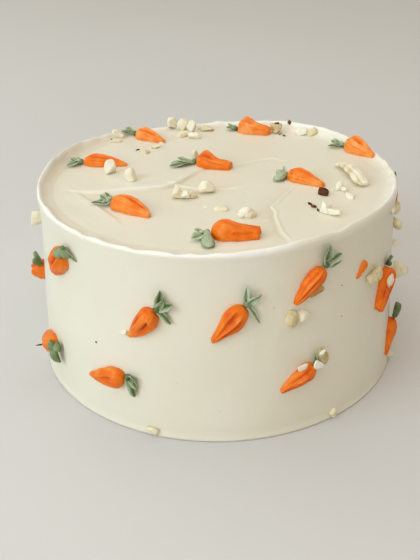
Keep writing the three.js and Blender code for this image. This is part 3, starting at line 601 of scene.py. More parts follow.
def body_size(s, width, rise, tip, taper, neck):
    """How full the shoulder is at a share of the length, and half the width and the height there."""
    shoulder = math.sqrt(1 - (1 - s / SHOULDER_END) ** 2) if s < SHOULDER_END else 1
    narrowing = (1 - tip) * ((s - SHOULDER_END) / (1 - SHOULDER_END)) ** taper if s > SHOULDER_END else 0
    waist = 1 - neck * math.exp(-((s - NECK_AT) / NECK_SPREAD) ** 2)
    hump = 1 + neck * math.exp(-((s - HUMP_AT) / HUMP_SPREAD) ** 2)
    half = width / 2 * shoulder * (1 - narrowing) * waist
    tall = rise * (0.3 + 0.7 * 2 * half / width) * (1 - 0.25 * s) * hump
    return shoulder, half, tall


def body_ring(half, tall, share, wobble):
    """Across and up of a ring's points, over the dome from left to right and back along the underside."""
    across = half * np.cos(DOME) * (0.7 + 0.3 * share) * np.where(np.cos(DOME) > 0, *wobble)
    up = tall * (BELLY + (1 - BELLY) * np.sin(DOME) * share)
    low_v = half * (0.84 + 0.16 * np.cos(UNDERSIDE))
    low_h = -SINK + (BELLY * tall + SINK) * (1 - np.sin(UNDERSIDE))
    v = np.concatenate([across, -low_v * wobble[1], [0], low_v[::-1] * wobble[0]])
    h = np.concatenate([up, low_h, [-SINK], low_h[::-1]])
    return v, h


def strand_lines(s, seed):
    """The strands that the cut of the tip drew along the body, broad and fine, at one station."""
    broad = np.array([noise.noise((1.4 * s, 3.6 * t, seed * 1.3)) for t in DOME])
    fine = np.array([noise.noise((2.2 * s, 12.0 * t, seed * 2.3)) for t in DOME])
    return 0.4 * broad + 0.12 * fine


def piped_body(name, spot, shape, seed, neck=0, pits=(), taper=USUAL_TAPER, painted_sheen_and_shade=0):
    """One orange body, with its folds, its strands and the pits in its skin, painted shade in them and its
    painted sheen.
    """
    length, width, rise, kind, tip, bend = shape
    blunt = TORN_END if tip > TORN_FROM else DRAWN_END
    flat = np.zeros(UNDERSIDE_POINTS)
    rings, strands, painted_shades = [], [], []
    for s, close in [(s, 1.0) for s in STATIONS] + [(1.0, math.cos(a)) for a in TIP_ROUNDING]:
        shoulder, half, tall = body_size(s, width, rise, tip, taper, neck)
        past = blunt * half * math.sqrt(1 - close ** 2)
        half, tall = half * (0.25 + 0.75 * close), tall * (0.4 + 0.6 * close)
        lower, painted_shade = folds_at(kind, s)
        wobble = [1 + EDGE_WOBBLE * noise.noise((3.4 * s, side, seed * 1.9)) * shoulder for side in (0, 5)]
        v, h = body_ring(half, tall, 1 - lower * close, wobble)
        torn = [(0.7 + 1.1 * tip) * s ** 10 * noise.noise((0.6 * a, seed * 3.3, 0.0)) for a in v]
        rings.append(spot(s * length + past + np.array(torn), bend * math.sin(math.pi * s) + v, h))
        lines = strand_lines(s, seed) * shoulder * np.sin(DOME) ** 0.3
        strands.append(np.concatenate([lines, flat]))
        # Painted shade in the folds and between the strands, painted highlight on the strands' ridges.
        painted_shades.append(np.concatenate([painted_shade - STRAND_PAINTED_LIGHT * lines, flat]))
    points = np.vstack(rings)
    sides = len(rings[0])
    middles = np.array([ring.mean(0) for ring in rings])
    away = points - np.repeat(middles, sides, 0)
    away /= np.linalg.norm(away, axis=1)[:, None].clip(0.2)
    skin = SKIN_LUMPS * ruffle(points, 3.2, seed) + SKIN_GRAIN * ruffle(points, 1.2, seed)
    relief = skin + np.concatenate(strands)
    painted_shade = np.concatenate(painted_shades)
    for s, angle, radius, depth in pits:
        ring = int(np.argmin(np.abs(STATIONS - s)))
        column = int(np.argmin(np.abs(DOME - math.radians(angle))))
        reach = np.linalg.norm(points - rings[ring][column], axis=1) / radius
        relief -= depth * np.exp(-reach ** 2)
        # Painted shade in each pit.
        painted_shade += PIT_PAINTED_SHADE * np.exp(-reach ** 2)
    points = np.vstack([points + away * relief[:, None], middles[0], middles[-1]])
    body = mesh_piece(name, points, skin_faces(len(rings), sides, len(points) - 2, len(points) - 1), orange)
    # Painted sheen on some bodies, painted shade on others.
    mark(body, "fold", np.array([*painted_shade, 0, 0]) - painted_sheen_and_shade)
    return body


def settle(piece, node):
    """Fixes a topping to the cake's root and hides the solid that it takes the place of."""
    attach(piece, "root")
    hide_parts(node)


carrots = [(f"top_{i}", spot_on_top(*place), shape, leaves)
           for i, (place, shape, leaves) in enumerate(TOP_CARROTS, 1)]
carrots += [(f"side_{i}", spot_on_side(*place), shape, leaves)
            for i, (place, shape, leaves) in enumerate(SIDE_CARROTS, 1)]
for number, (label, spot, shape, leaves) in enumerate(carrots):
    body = piped_body(f"piped_carrot_{label}", spot, shape, number, NECKS.get(label, 0), PITS.get(label, ()),
                      TAPERS.get(label, USUAL_TAPER), PAINTED_SHEEN_AND_SHADE.get(label, 0))
    settle(body, f"carrot_{label}")
DAB_SEED = 90
settle(piped_body("piped_dab", spot_on_side(*DAB[0]), DAB[1], DAB_SEED), "carrot_dab")


# THE LEAVES. Grey-green buttercream pulled out in short folded blades behind each shoulder, from a leaf tip
# held flat: ribbed along, thin at the edges, and drawn to a point. They are painted paler at the edges and
# darker in the groove and underneath, partly thin buttercream and partly painted light and shade. Some tufts
# are fat drops that lie over the shoulder.

# The crown that the blades grow from, its gap to the shoulder and to the frosting, and a blade's thickness.
CROWN_RADIUS = 1.4
GAP = 0.36
LEAF_THICKNESS = 0.8
CROWN_RINGS = 10
CROWN_SIDES = 18
BLADE_RINGS = 24
BLADE_POINTS = 21
# How high the ribs along a blade and along a drop are, and the lumps all over a leaf.
BLADE_RIBS = 0.09
DROP_RIBS = 0.11
LEAF_LUMPS = 0.096
# How the blades of a tuft curl to one side or the other, in turn.
CURLS = (0.9, -0.8, 0.6, -0.9)
# At shares of a leaf's length: how wide each form is, how deep a blade folds and how high a drop stands, as
# shares of the leaf's width.
BLADE_WIDTH = {
    "blade": ([0, 0.2, 0.5, 0.75, 0.9, 1], [0.62, 0.98, 1.1, 0.86, 0.52, 0.1]),
    "drop": ([0, 0.25, 0.55, 0.8, 0.94, 1], [0.42, 0.72, 1.0, 1.06, 0.78, 0.3]),
}
BLADE_FOLD = ([0, 0.3, 0.5, 0.8, 1], [0.16, 0.28, 0.3, 0.22, 0.06])
DROP_HEIGHT = ([0, 0.3, 0.6, 0.85, 1], [0.3, 0.42, 0.44, 0.34, 0.12])
# How pale each tuft is, partly its own tone and partly painted light, with the tufts that lie in shade
# painted darkest, and how far some tufts lie over the carrot's shoulder, along it and up.
TUFT_TONE_AND_PAINTED_LIGHT = {
    "top_1": -0.04, "top_2": 0.08, "top_3": 0.08, "top_4": 0.04, "top_6": 0.24, "top_7": 0.08, "top_8": 0.2,
    "side_1": -0.02, "side_3": -0.08, "side_4": -0.11, "side_5": -0.07, "side_6": 0.18, "side_8": 0.05,
    "side_9": -0.2, "side_10": -0.24,
}
OVER_SHOULDER = {"side_1": (1.2, 1.0), "side_2": (-4.2, 1.8), "side_3": (-2.2, 2.6), "side_10": (0.8, 1.8)}

# From the painted shade, deep green, in the groove, between the ribs and underneath, to the pale edges,
# partly painted light.
GREEN_COLORS = [
    (0.1, (0.050, 0.080, 0.024)), (0.38, (0.150, 0.208, 0.072)), (0.62, (0.30, 0.37, 0.205)),
    (0.9, (0.55, 0.64, 0.46)),
]


def green_finish():
    """Deep green buttercream, paler where it is thin, with painted light where it stands up and painted shade
    in its hollows.
    """
    finish, tree, surface, place = new_finish(
        "green_buttercream", 0.4, Subsurface_Weight=0.1, Specular_IOR_Level=0.35,
        Subsurface_Radius=(0.7, 1.0, 0.6), Subsurface_Scale=0.0008)
    leaf_tone_and_painted_light = marked(tree, "leaf_tone_and_painted_light")
    broad = noise_texture(tree, place, 260.0, 4.0)
    color = color_ramp(tree, scaled_sum(tree, broad, 0.5, leaf_tone_and_painted_light), GREEN_COLORS)
    tree.links.new(color, surface.inputs["Base Color"])
    add_bump(tree, surface, noise_texture(tree, place, 900.0, 5.0), 0.4, 0.0003)
    return finish


green = green_finish()


def leaf_blade(spot, angle, length, wide, tip_rise, form, curl, over, lift):
    """The rings of one blade from the crown to the tip, and how pale each point of a ring is, with painted
    shade in the groove and underneath.
    """
    turn = math.pi + math.radians(angle)
    settles = 0.8 * max(0, math.cos(math.radians(angle)))
    a = np.linspace(1, -1, BLADE_POINTS)
    groove = 1 - np.exp(-(np.abs(a) / 0.32) ** 1.6)
    edge = np.sqrt(1 - 0.85 * a ** 8)
    rings, tones = [], []
    for s in np.linspace(0, 0.985, BLADE_RINGS):
        half = wide / 2 * np.interp(s, *BLADE_WIDTH[form])
        thick = LEAF_THICKNESS * (1 - 0.5 * s)
        if form == "drop":
            ribs = DROP_RIBS * np.cos(5 * math.pi * a) * (1 - a ** 2)
            rise = wide * np.interp(s, *DROP_HEIGHT) * (1 - a ** 2) ** 0.7 + ribs
            below = -thick * (1 + edge) / 2
            twist = 0
            # Painted light on a drop: paler on its ribs, darker between them and at its sides.
            upper_tone_and_painted_light = 0.3 + 0.07 * np.cos(5 * math.pi * a) - 0.2 * a ** 4
        else:
            fold = wide * np.interp(s, *BLADE_FOLD)
            wave = 0.35 * math.sin(2.6 * s * math.pi + 2 * curl)
            ribs = BLADE_RIBS * np.cos(6 * math.pi * a) * (1 - 0.6 * s)
            rise = fold * (0.7 * groove + 0.3 * a ** 2) * (1 + wave * np.sign(a)) + ribs
            below = rise - thick * (1 + edge) / 2
            twist = 0.5 * curl * s
            # Painted light and shade on a blade: paler at the edges, towards the tip and on the curled side,
            # darker in the groove.
            upper_tone_and_painted_light = 0.2 + 0.34 * a ** 2 - 0.24 * np.exp(-(a / 0.24) ** 2) + 0.12 * s + 0.1 * np.sign(a) * curl
        across = np.concatenate([half * a, half * 0.94 * a[::-1]])
        up = np.concatenate([rise - thick * (1 - edge) / 2, below[::-1]])
        cos, sin = math.cos(twist), math.sin(twist)
        across, up = across * cos - up * sin, up * cos + across * sin
        across = across + 1.3 * curl * (s - 0.15) ** 2
        u = over - CROWN_RADIUS - GAP + s * length * math.cos(turn) - across * math.sin(turn)
        v = s * length * math.sin(turn) + across * math.cos(turn)
        height = GAP + LEAF_THICKNESS + lift * (1 - settles * s) + tip_rise * s ** 1.6
        rings.append(spot(u, v, np.maximum(height + up, 0.1)))
        # The underside is painted dark, painted shade.
        tones.append(np.concatenate([upper_tone_and_painted_light, 0.1 + 0.1 * a[::-1] ** 2]))
    return rings, tones


def moved_on(faces, start):
    """The same faces, for points that follow others in one list."""
    return [tuple(corner + start for corner in face) for face in faces]


def leaf_tuft(name, spot, leaves, seed, tuft_tone_and_painted_light, over, lift):
    """The blades of one tuft and the small lobed crown that they grow from."""
    points, tones, faces = [], [], []
    for i, (angle, length, wide, tip_rise, *form) in enumerate(leaves):
        curl = CURLS[(i + seed) % len(CURLS)]
        shape = form[0] if form else "blade"
        rings, tone = leaf_blade(spot, angle, length, wide, tip_rise, shape, curl, over, lift)
        start = sum(len(p) for p in points)
        sides = len(rings[0])
        count = len(rings) * sides
        points += [*rings, rings[0].mean(0)[None], rings[-1].mean(0)[None]]
        tones += [*tone, [0.1, 0.3]]
        faces += moved_on(skin_faces(len(rings), sides, count, count + 1), start)
    start = sum(len(p) for p in points)
    crown = []
    w = np.linspace(0, 2 * math.pi, CROWN_SIDES, endpoint=False)
    lobes = 1 + 0.2 * np.cos(5 * w + seed)
    for t in np.linspace(0.15, math.pi - 0.15, CROWN_RINGS):
        u = over - CROWN_RADIUS - GAP - CROWN_RADIUS * math.cos(t) * np.ones_like(w)
        v = -CROWN_RADIUS * 1.2 * math.sin(t) * np.cos(w) * lobes
        h = CROWN_RADIUS + lift + CROWN_RADIUS * math.sin(t) * np.sin(w) * lobes
        crown.append(spot(u, v, h))
        # The crown is painted dark, painted shade where the blades meet, with its lobes a little paler.
        tones.append(0.08 + 0.2 * (lobes - 1))
    points += [*crown, crown[0].mean(0)[None], crown[-1].mean(0)[None]]
    tones.append([0.1, 0.1])
    count = CROWN_RINGS * CROWN_SIDES
    faces += moved_on(skin_faces(CROWN_RINGS, CROWN_SIDES, count, count + 1), start)
    points = np.vstack(points)
    points += (LEAF_LUMPS * ruffle(points, 1.6, seed))[:, None]
    tuft = mesh_piece(name, points, faces, green)
    mark(tuft, "leaf_tone_and_painted_light", np.concatenate(tones) + tuft_tone_and_painted_light)
    return tuft


for number, (label, spot, shape, leaves) in enumerate(carrots):
    over, lift = OVER_SHOULDER.get(label, (0, 0))
    tuft = leaf_tuft(f"piped_leaves_{label}", spot, leaves, number, TUFT_TONE_AND_PAINTED_LIGHT.get(label, 0), over, lift)
    settle(tuft, f"leaves_{label}")


# THE CHOPPED NUTS. Blanched nuts, chopped coarsely by hand: rounded backs and flat broken faces, cream where
# they split and a little honey-coloured outside. They are scattered over the top and pressed into the side.
NUT_SINKS = 0.7
# Each bit: its place as for the carrots, its size along, across and up, and how white it is: 0 is the brown
# of a skin side and 1 a fresh break.
TOP_NUTS = [
    ((-58.3, 10.8, 10), (6.8, 5.8, 9.2), 0.75), ((-46.5, 1, -30), (7, 5.4, 8), 0.65),
    ((-28, 87, 30), (7.4, 5.4, 7.6), 0.75), ((-20.8, 83, 10), (8.4, 6.2, 8), 0.65),
    ((-14.6, 80, -20), (6.6, 5.6, 8.4), 0.75), ((-7, 81.5, -8), (11, 5, 3.6), 0.45),
    ((-20.5, 71, 15), (8, 5.4, 4.2), 0.5), ((-12.8, 67, -30), (8.4, 5.6, 4.6), 0.65),
    ((-60.4, 70, 4), (8, 5, 3.6), 0.65), ((-36.2, 51, -15), (5.8, 3.8, 2.6), 0.45),
    ((-42.3, 42.4, -10), (6.6, 5, 2.4), 0.35), ((-12.4, 31.5, 80), (5, 4.4, 6.2), 0.45),
    ((-5.6, -19.5, 0), (9.4, 5.6, 6.6), 0.65), ((1.9, -42.2, 0), (7, 4.8, 2.6), 0.4),
    ((14.2, -50.6, 20), (7.2, 6, 5.2), 0.8), ((11.6, -52.2, -30), (4.4, 3.8, 3), 0.6),
    ((17, -52, 60), (4.8, 4, 3.4), 0.4), ((51.6, 69, -15), (7.4, 5.2, 4.6), 0.85),
    ((59.4, 67.2, 20), (7, 4.6, 3.8), 0.35), ((37.2, 74.6, 200), (7, 7.4, 6.2), 0.1),
    ((63.4, -20, 40), (5, 3.6, 5.4), 0.9), ((65.6, -22.6, -50), (4.4, 3.4, 3), 0.85),
    ((67, -31, -20), (4.8, 4, 3.4), 0.85), ((-61, 63, 10), (7, 2.6, 2.4), 0.5),
    ((-5.6, -38.6, 0), (2.6, 2, 1.2), 0.7), ((-33, 60, 20), (4, 2.4, 1.6), 0.5),
]
SIDE_NUTS = [
    ((-77.5, 86, 80), (10, 4.6, 6), 0.65), ((-18.8, 2.9, 0), (6.8, 4.4, 3.4), 0.5),
    ((35.2, 3, 20), (4.6, 4, 3.4), 0.5), ((27, 75.6, 15), (10.4, 5.4, 3.8), -0.2),
    ((-27.1, 55, 0), (3.4, 3, 2.6), 0.6), ((20.3, 64, 60), (8.2, 6.4, 4.8), 0.2),
    ((23.4, 64.6, -30), (6.4, 5.4, 4.4), 0.6), ((30, 39.6, 80), (8.2, 7.4, 4.6), 0.05),
    ((75.5, 53.5, 80), (11.4, 4.6, 9.6), 0.5), ((72, 4.6, 30), (4.6, 4, 4.4), 0.5),
    ((78, 77.5, 50), (6.4, 5.4, 5.4), 0.35), ((77, 68, 0), (4.2, 3.6, 4.2), 0.8),
    ((79, 86, 80), (8, 4.6, 4), 0.35), ((65.5, 94, 70), (4, 3.4, 2.6), 0.6),
    ((73.5, 7.5, 80), (6, 2.6, 2), 0.4), ((112, 68, 30), (6.2, 4.8, 4), 0.5),
    ((117, 46, -40), (5.4, 4.2, 3.6), 0.4), ((140, 48, 15), (7, 5, 4.4), 0.6),
    ((145, 82, 60), (5.6, 4.4, 4), 0.5), ((150, 10, 0), (5, 4, 3.6), 0.4),
    ((171, 58, -25), (6.4, 4.8, 4), 0.5), ((188, 40, 40), (5.2, 4.2, 3.8), 0.6),
    ((200, 72, -60), (6, 4.6, 4.2), 0.35), ((222, 22, 20), (6.6, 4.8, 4), 0.5),
    ((224, 78, -10), (5.2, 4.2, 3.6), 0.4), ((252, 60, 35), (6, 4.8, 4.2), 0.6),
    ((250, 20, 70), (4.8, 4, 3.6), 0.5),
]
# Flakes that stuck to a carrot or its leaves: the place, the lift off the frosting, the size and the white.
STUCK_NUTS = [
    ((22.8, 39.2, 12), 4.3, (5.4, 3.2, 1), 0.8), ((28.2, 36.8, -30), 2.8, (6.2, 4.6, 1.5), 0.85),
    ((29.2, 43.4, 20), 3.2, (3.6, 2.2, 1.4), 0.95), ((58.5, 61.8, 40), 4, (7, 6, 2.6), 0.65),
]
# The seed of the first bit of each list. Every bit has its own, so that no two break alike.
TOP_SEED = 11
SIDE_SEED = 101
STUCK_SEED = 201

# From the honey of the skin side to the cream of a broken face, and the white of the freshest breaks.
NUT_COLORS = [
    (0.2, (0.56, 0.26, 0.06)), (0.45, (0.56, 0.44, 0.21)), (0.7, (0.72, 0.62, 0.38)),
    (0.95, (0.84, 0.78, 0.56)),
]
NUT_WHITE = (0.93, 0.90, 0.80, 1)


def nut_finish():
    """Dry nut flesh that goes from honey to cream and white, mottled and finely grained."""
    finish, tree, surface, place = new_finish(
        "blanched_nut", 0.5, Subsurface_Weight=0.1, Specular_IOR_Level=0.35,
        Subsurface_Radius=(1.0, 0.7, 0.4), Subsurface_Scale=0.0012)
    white = marked(tree, "white")
    broad = noise_texture(tree, place, 220.0, 5.0)
    factor = scaled_sum(tree, broad, 0.9, white)
    color = color_ramp(tree, factor, NUT_COLORS)
    bright = add_node(tree, "MapRange", {"Value": factor, "From Min": 0.95, "From Max": 1.5})
    mixed = add_node(tree, "Mix", {"Factor": bright.outputs["Result"], 6: color}, data_type="RGBA")
    mixed.inputs[7].default_value = NUT_WHITE
    tree.links.new(mixed.outputs[2], surface.inputs["Base Color"])
    add_bump(tree, surface, noise_texture(tree, place, 700.0, 5.0), 0.5, 0.0003)
    return finish


nut_flesh = nut_finish()


# The factor, the shift and the range of the draws, and how far apart the draws of two seeds start.
DRAW_FACTOR = 1664525
DRAW_SHIFT = 1013904223
DRAW_RANGE = 2 ** 32
SEED_SPREAD = 7919


def seeded_random(seed):
    """Numbers from 0 to 1 that look random and are the same each run."""
    state = seed
    while True:
        state = (state * DRAW_FACTOR + DRAW_SHIFT) % DRAW_RANGE
        yield state / DRAW_RANGE


# How many points a nut's rounded form starts from, and how many flat breaks are cut off it.
NUT_POINTS = 90
NUT_BREAKS = 8
# The golden angle as a share of pi, which spreads the points and the breaks evenly.
GOLDEN = 3 - math.sqrt(5)
# How round a chunk and a thin flake are, where 1 is a ball, and how far out their nearest breaks can lie.
CHUNK = (0.72, 0.42)
FLAKE = (0.5, 0.5)
# Edges sharper than this many radians are rounded off, by this much on the larger nuts, and then the longest
# are split twice.
SHARP_EDGE = 0.4
EDGE_ROUNDING = 0.24
LONGEST_EDGE = 0.9


def chopped_nut(size, seed):
    """Points and faces of one bit of nut, drawn round its own origin with its lowest point at height 0."""
    random = seeded_random(seed * SEED_SPREAD)
    i = np.arange(NUT_POINTS)
    height = 1 - (2 * i + 1) / NUT_POINTS
    turn = i * math.pi * GOLDEN
    ring = np.sqrt(1 - height ** 2)
    ball = np.stack([ring * np.cos(turn), ring * np.sin(turn), height], 1)
    roundness, nearest = FLAKE if size[2] < 0.5 * size[1] else CHUNK
    ball = np.sign(ball) * np.abs(ball) ** roundness
    swing = 2 * math.pi * next(random)
    for k in range(NUT_BREAKS):
        tilt = min(1, max(-1, 1 - (2 * k + 1) / NUT_BREAKS + 0.6 * (next(random) - 0.5)))
        swing += math.pi * GOLDEN + 1.6 * (next(random) - 0.5)
        level = math.sqrt(1 - tilt ** 2)
        flat = np.array([math.cos(swing) * level, math.sin(swing) * level, tilt])
        reach = nearest + 0.45 * next(random)
        ball -= np.clip(ball @ flat - reach, 0, None)[:, None] * flat
    if size[2] > 0.9 * size[1]:
        ball[:, :2] *= 1 - 0.38 * (0.4 + next(random)) * (ball[:, 2:] + 1) / 2
    lean = 0.4 * (next(random) - 0.5)
    ball[:, 0], ball[:, 2] = (ball[:, 0] * math.cos(lean) - ball[:, 2] * math.sin(lean),
                              ball[:, 2] * math.cos(lean) + ball[:, 0] * math.sin(lean))
    ball *= np.array(size) / (ball.max(0) - ball.min(0))
    hull = bmesh.new()
    for corner in ball:
        hull.verts.new(corner)
    bmesh.ops.convex_hull(hull, input=hull.verts)
    bmesh.ops.delete(hull, geom=[v for v in hull.verts if not v.link_faces], context="VERTS")
    bmesh.ops.dissolve_limit(hull, angle_limit=0.06, verts=hull.verts[:], edges=hull.edges[:])
    sharp = [e for e in hull.edges if len(e.link_faces) == 2 and e.calc_face_angle() > SHARP_EDGE]
    round_off = EDGE_ROUNDING * min(1, min(size) / 4) ** 2
    bmesh.ops.bevel(hull, geom=sharp, offset=round_off, segments=2, affect="EDGES", clamp_overlap=True)
    for _ in range(2):
        bmesh.ops.triangulate(hull, faces=hull.faces[:])
        long_edges = [e for e in hull.edges if e.calc_length() > LONGEST_EDGE]
        bmesh.ops.subdivide_edges(hull, edges=long_edges, cuts=1, use_grid_fill=True)
    bmesh.ops.triangulate(hull, faces=hull.faces[:])
    hull.verts.ensure_lookup_table()
    points = np.array([v.co for v in hull.verts])
    faces = [tuple(v.index for v in f.verts) for f in hull.faces]
    hull.free()
    lumps = 0.26 * min(1, min(size) / 3) * ruffle(points, 1.7, seed)
    reach = np.linalg.norm(points, axis=1)[:, None].clip(0.5)
    points += lumps[:, None] * points / reach
    points[:, 2] -= points[:, 2].min()
    return points, faces


def nut_pieces(name, rows, finish):
    """One mesh of many bits, each given by its spot, size, seed, lift off the frosting and whiteness."""
    points, faces, tones, start = [], [], [], 0
    for spot, size, seed, lift, white in rows:
        p, f = chopped_nut(size, seed)
        points.append(spot(p[:, 0], p[:, 1], p[:, 2] + lift))
        faces += moved_on(f, start)
        tones += [white] * len(p)
        start += len(p)
    piece = mesh_piece(name, np.vstack(points), faces, finish)
    mark(piece, "white", tones)
    return piece


small = [(spot_on_top(*place), size, TOP_SEED + i, -NUT_SINKS, white)
         for i, (place, size, white) in enumerate(TOP_NUTS)]
small += [(spot_on_side(*place), size, SIDE_SEED + i, -NUT_SINKS, white)
          for i, (place, size, white) in enumerate(SIDE_NUTS)]
small += [(spot_on_side(*place), size, STUCK_SEED + i, lift, white)
          for i, (place, lift, size, white) in enumerate(STUCK_NUTS)]
settle(nut_pieces("chopped_nuts", small, nut_flesh), "cake")


# THE LARGE NUTS. Bigger pieces of the same nuts, each cracked into two or three lobes and loose enough to
# lift off, and one thick curled sliver. They rest against the frosting and aren't pressed in.
# Each piece: its place, and its lobes as their middle along and across it, heading, size, white and seed.
LARGE_NUTS = {
    "nut_top_1": (spot_on_top, (-16.6, -27, -4),
                  [((-3.2, 0.6), 20, (6.4, 6.6, 7), 0.6, 31), ((1.2, -1.2), -35, (6.4, 5, 4.6), 0.75, 32),
                   ((4.8, 1.2), 50, (3.8, 3.6, 4), 0.5, 33)]),
    "nut_top_2": (spot_on_top, (54.2, -49, -50),
                  [((-2, 0), 10, (7, 6, 5.4), 0.95, 36), ((3, -0.4), 0, (8.4, 3.8, 3), 0.75, 37)]),
    "nut_side_1": (spot_on_side, (51.6, 70, 15),
                   [((0.6, 0.4), -8, (9.6, 6.2, 5.4), 0.2, 77), ((-3, -0.4), 80, (5.6, 6, 4.8), 0.25, 50)]),
}
# The sliver's middle line as x, y and height off the top, and half its width at shares of its length.
SLIVER_PATH = [
    (65.6, 12, 1.4), (69, 8.2, 2.8), (71.6, 1, 3.4), (73.4, -6, 3.2), (74.8, -12.5, 2.6), (76, -18, 1.6),
]
SLIVER_WIDTH = ([0, 0.2, 0.5, 0.8, 1], [1.2, 2.8, 3.9, 4.1, 2.6])
SLIVER_STEPS = 14
SLIVER_SIDES = 32
SLIVER_LUMPS = 0.245

for node, (spot_on, (x, y, heading), lobes) in LARGE_NUTS.items():
    rows = []
    cos, sin = math.cos(math.radians(heading)), math.sin(math.radians(heading))
    for (u, v), turned, size, white, seed in lobes:
        right_by, up_by = u * cos - v * sin, u * sin + v * cos
        if spot_on is spot_on_side:
            right_by = math.degrees(right_by / WAIST_RADIUS)
        rows.append((spot_on(x + right_by, y + up_by, heading + turned), size, seed, 0, white))
    settle(nut_pieces(f"large_{node}", rows, nut_flesh), node)


def nut_sliver():
    """A strip with rough pleated faces, drawn along its path and never below the top."""
    path = smooth_path(SLIVER_PATH, [SLIVER_STEPS] * (len(SLIVER_PATH) - 1))
    ahead = np.gradient(path, axis=0)
    ahead /= np.linalg.norm(ahead, axis=1)[:, None]
    rings, tones = [], []
    for i, (middle, along) in enumerate(zip(path, ahead)):
        s = i / (len(path) - 1)
        half = np.interp(s, *SLIVER_WIDTH)
        thick = 1.1 * math.sin(math.pi * (0.12 + 0.76 * s)) + 0.3
        left = np.array([-along[1], along[0], 0]) / np.hypot(*along[:2])
        off = np.cross(along, left)
        w = np.linspace(0, 2 * math.pi, SLIVER_SIDES, endpoint=False)
        pleat = np.sin(15 * s + 2 * math.sin(4 * s) + 0.9 * np.cos(w)) ** 2
        ribs = 0.86 + 0.14 * np.cos(7 * w + 4 * s) + 0.26 * pleat
        wide = half * np.cos(w) * (0.94 + 0.1 * pleat)
        ring = middle + np.outer(wide, left) + np.outer(thick * np.sin(w) * ribs, off)
        ring[:, 2] = top_height(ring[:, 0], ring[:, 1]) + np.maximum(0, ring[:, 2])
        rings.append(ring)
        # Paler along the pleats, and darker along one edge as painted shade on the sliver's shadow side.
        tones += (0.6 + 0.3 * pleat - 0.4 * (np.cos(w) < -0.3)).tolist()
    points = np.vstack(rings)
    points += (SLIVER_LUMPS * ruffle(points, 1.9, 5))[:, None]
    points = np.vstack([points, rings[0].mean(0), rings[-1].mean(0)])
    faces = skin_faces(len(rings), SLIVER_SIDES, len(points) - 2, len(points) - 1)
    sliver = mesh_piece("large_nut_sliver", points, faces, nut_flesh)
    mark(sliver, "white", [*tones, 0.4, 0.4])
    return sliver


settle(nut_sliver(), "nut_sliver")


# THE DARK BITS. A crumb of walnut skin that fell by the tip of one carrot, and small specks of skin and leaf
# that flew off while the nuts were chopped. Each: its place, and its size along, across and up.
DARK_BIT = ((54.4, -26, -20), (5.8, 4.8, 4.2))
TOP_SPECKS = [
    ((-46.7, 47.5, 30), (2.6, 0.9, 1.1)), ((45.7, 80.7, -30), (2.6, 1.4, 2.2)),
    ((39.6, 70.4, 40), (2.8, 0.7, 0.9)), ((41.6, 67.2, -30), (2.4, 0.7, 1.1)),
    ((46, -38.4, -50), (3.6, 0.9, 1.2)), ((47.4, -42.2, -20), (3.2, 1.3, 1.6)),
    ((49.2, -46.2, -70), (3.4, 1.2, 1.3)), ((-63.8, 64.6, 20), (2, 0.8, 0.8)),
    ((37.8, 75, 0), (3, 2.8, 6.6)),
]
SIDE_SPECKS = [
    ((-37.8, 43.6, 10), (1.2, 1, 0.7)), ((8.2, 17.1, 0), (0.9, 0.7, 0.4)),
    ((37.7, 72.4, 0), (0.7, 0.6, 0.4)), ((37.8, 56, 0), (0.7, 0.6, 0.4)),
    ((-70, 15.5, 0), (1.7, 1.7, 9)), ((147, 63, 20), (1.2, 0.9, 0.6)), ((205, 30, 0), (1, 0.9, 0.5)),
    ((231, 55, 60), (1.1, 0.8, 0.6)),
]
SPECK_SINKS = 0.2
# The seed of the dark bit, and of the first speck of each list.
DARK_BIT_SEED = 33
TOP_SPECK_SEED = 301
SIDE_SPECK_SEED = 331

# From nearly black to a dry brown.
SKIN_COLORS = [(0.35, (0.045, 0.014, 0.004)), (0.55, (0.13, 0.040, 0.010)), (0.75, (0.27, 0.11, 0.03))]


def dark_finish():
    """Dry dark skin, rough and unevenly brown."""
    finish, tree, surface, place = new_finish("nut_skin", 0.6, Specular_IOR_Level=0.2)
    color = color_ramp(tree, noise_texture(tree, place, 420.0, 4.0), SKIN_COLORS)
    tree.links.new(color, surface.inputs["Base Color"])
    add_bump(tree, surface, noise_texture(tree, place, 800.0, 4.0), 0.7, 0.0004)
    return finish


nut_skin = dark_finish()
bit = [(spot_on_top(*DARK_BIT[0]), DARK_BIT[1], DARK_BIT_SEED, -NUT_SINKS, 0)]
settle(nut_pieces("dark_nut_bit", bit, nut_skin), "cake")
specks = [(spot_on_top(*place), size, TOP_SPECK_SEED + i, -SPECK_SINKS, 0)
          for i, (place, size) in enumerate(TOP_SPECKS)]
specks += [(spot_on_side(*place), size, SIDE_SPECK_SEED + i, -SPECK_SINKS, 0)
           for i, (place, size) in enumerate(SIDE_SPECKS)]
settle(nut_pieces("dark_specks", specks, nut_skin), "cake")


# THE FLOOR. A plain pale round sheet that the cake stands on: flat under it, and swept up to a low wall some
# way off on every side. Its outline is radius and height, and from here on lengths are in metres.
SWEEP_OUTLINE = [(0.02, 0), (0.3, 0), (0.8, 0), (1.5, 0), (1.95, 0.06), (2.25, 0.3), (2.35, 0.7), (2.35, 1.5)]
SWEEP_STEPS = 6
SWEEP_SIDES = 96
# How far the sheet lies below the foot of the cake, so that the two never flicker.
SWEEP_DROP = 0.0003


def sweep_finish():
    """Matt card, a little cloudy."""
    finish, tree, surface, place = new_finish("pale_sweep", 0.8)
    broad = noise_texture(tree, place, 2.0, 3.0)
    color = color_ramp(tree, broad, [(0.3, (0.63, 0.625, 0.605)), (0.7, (0.65, 0.645, 0.625))])
    tree.links.new(color, surface.inputs["Base Color"])
    return finish


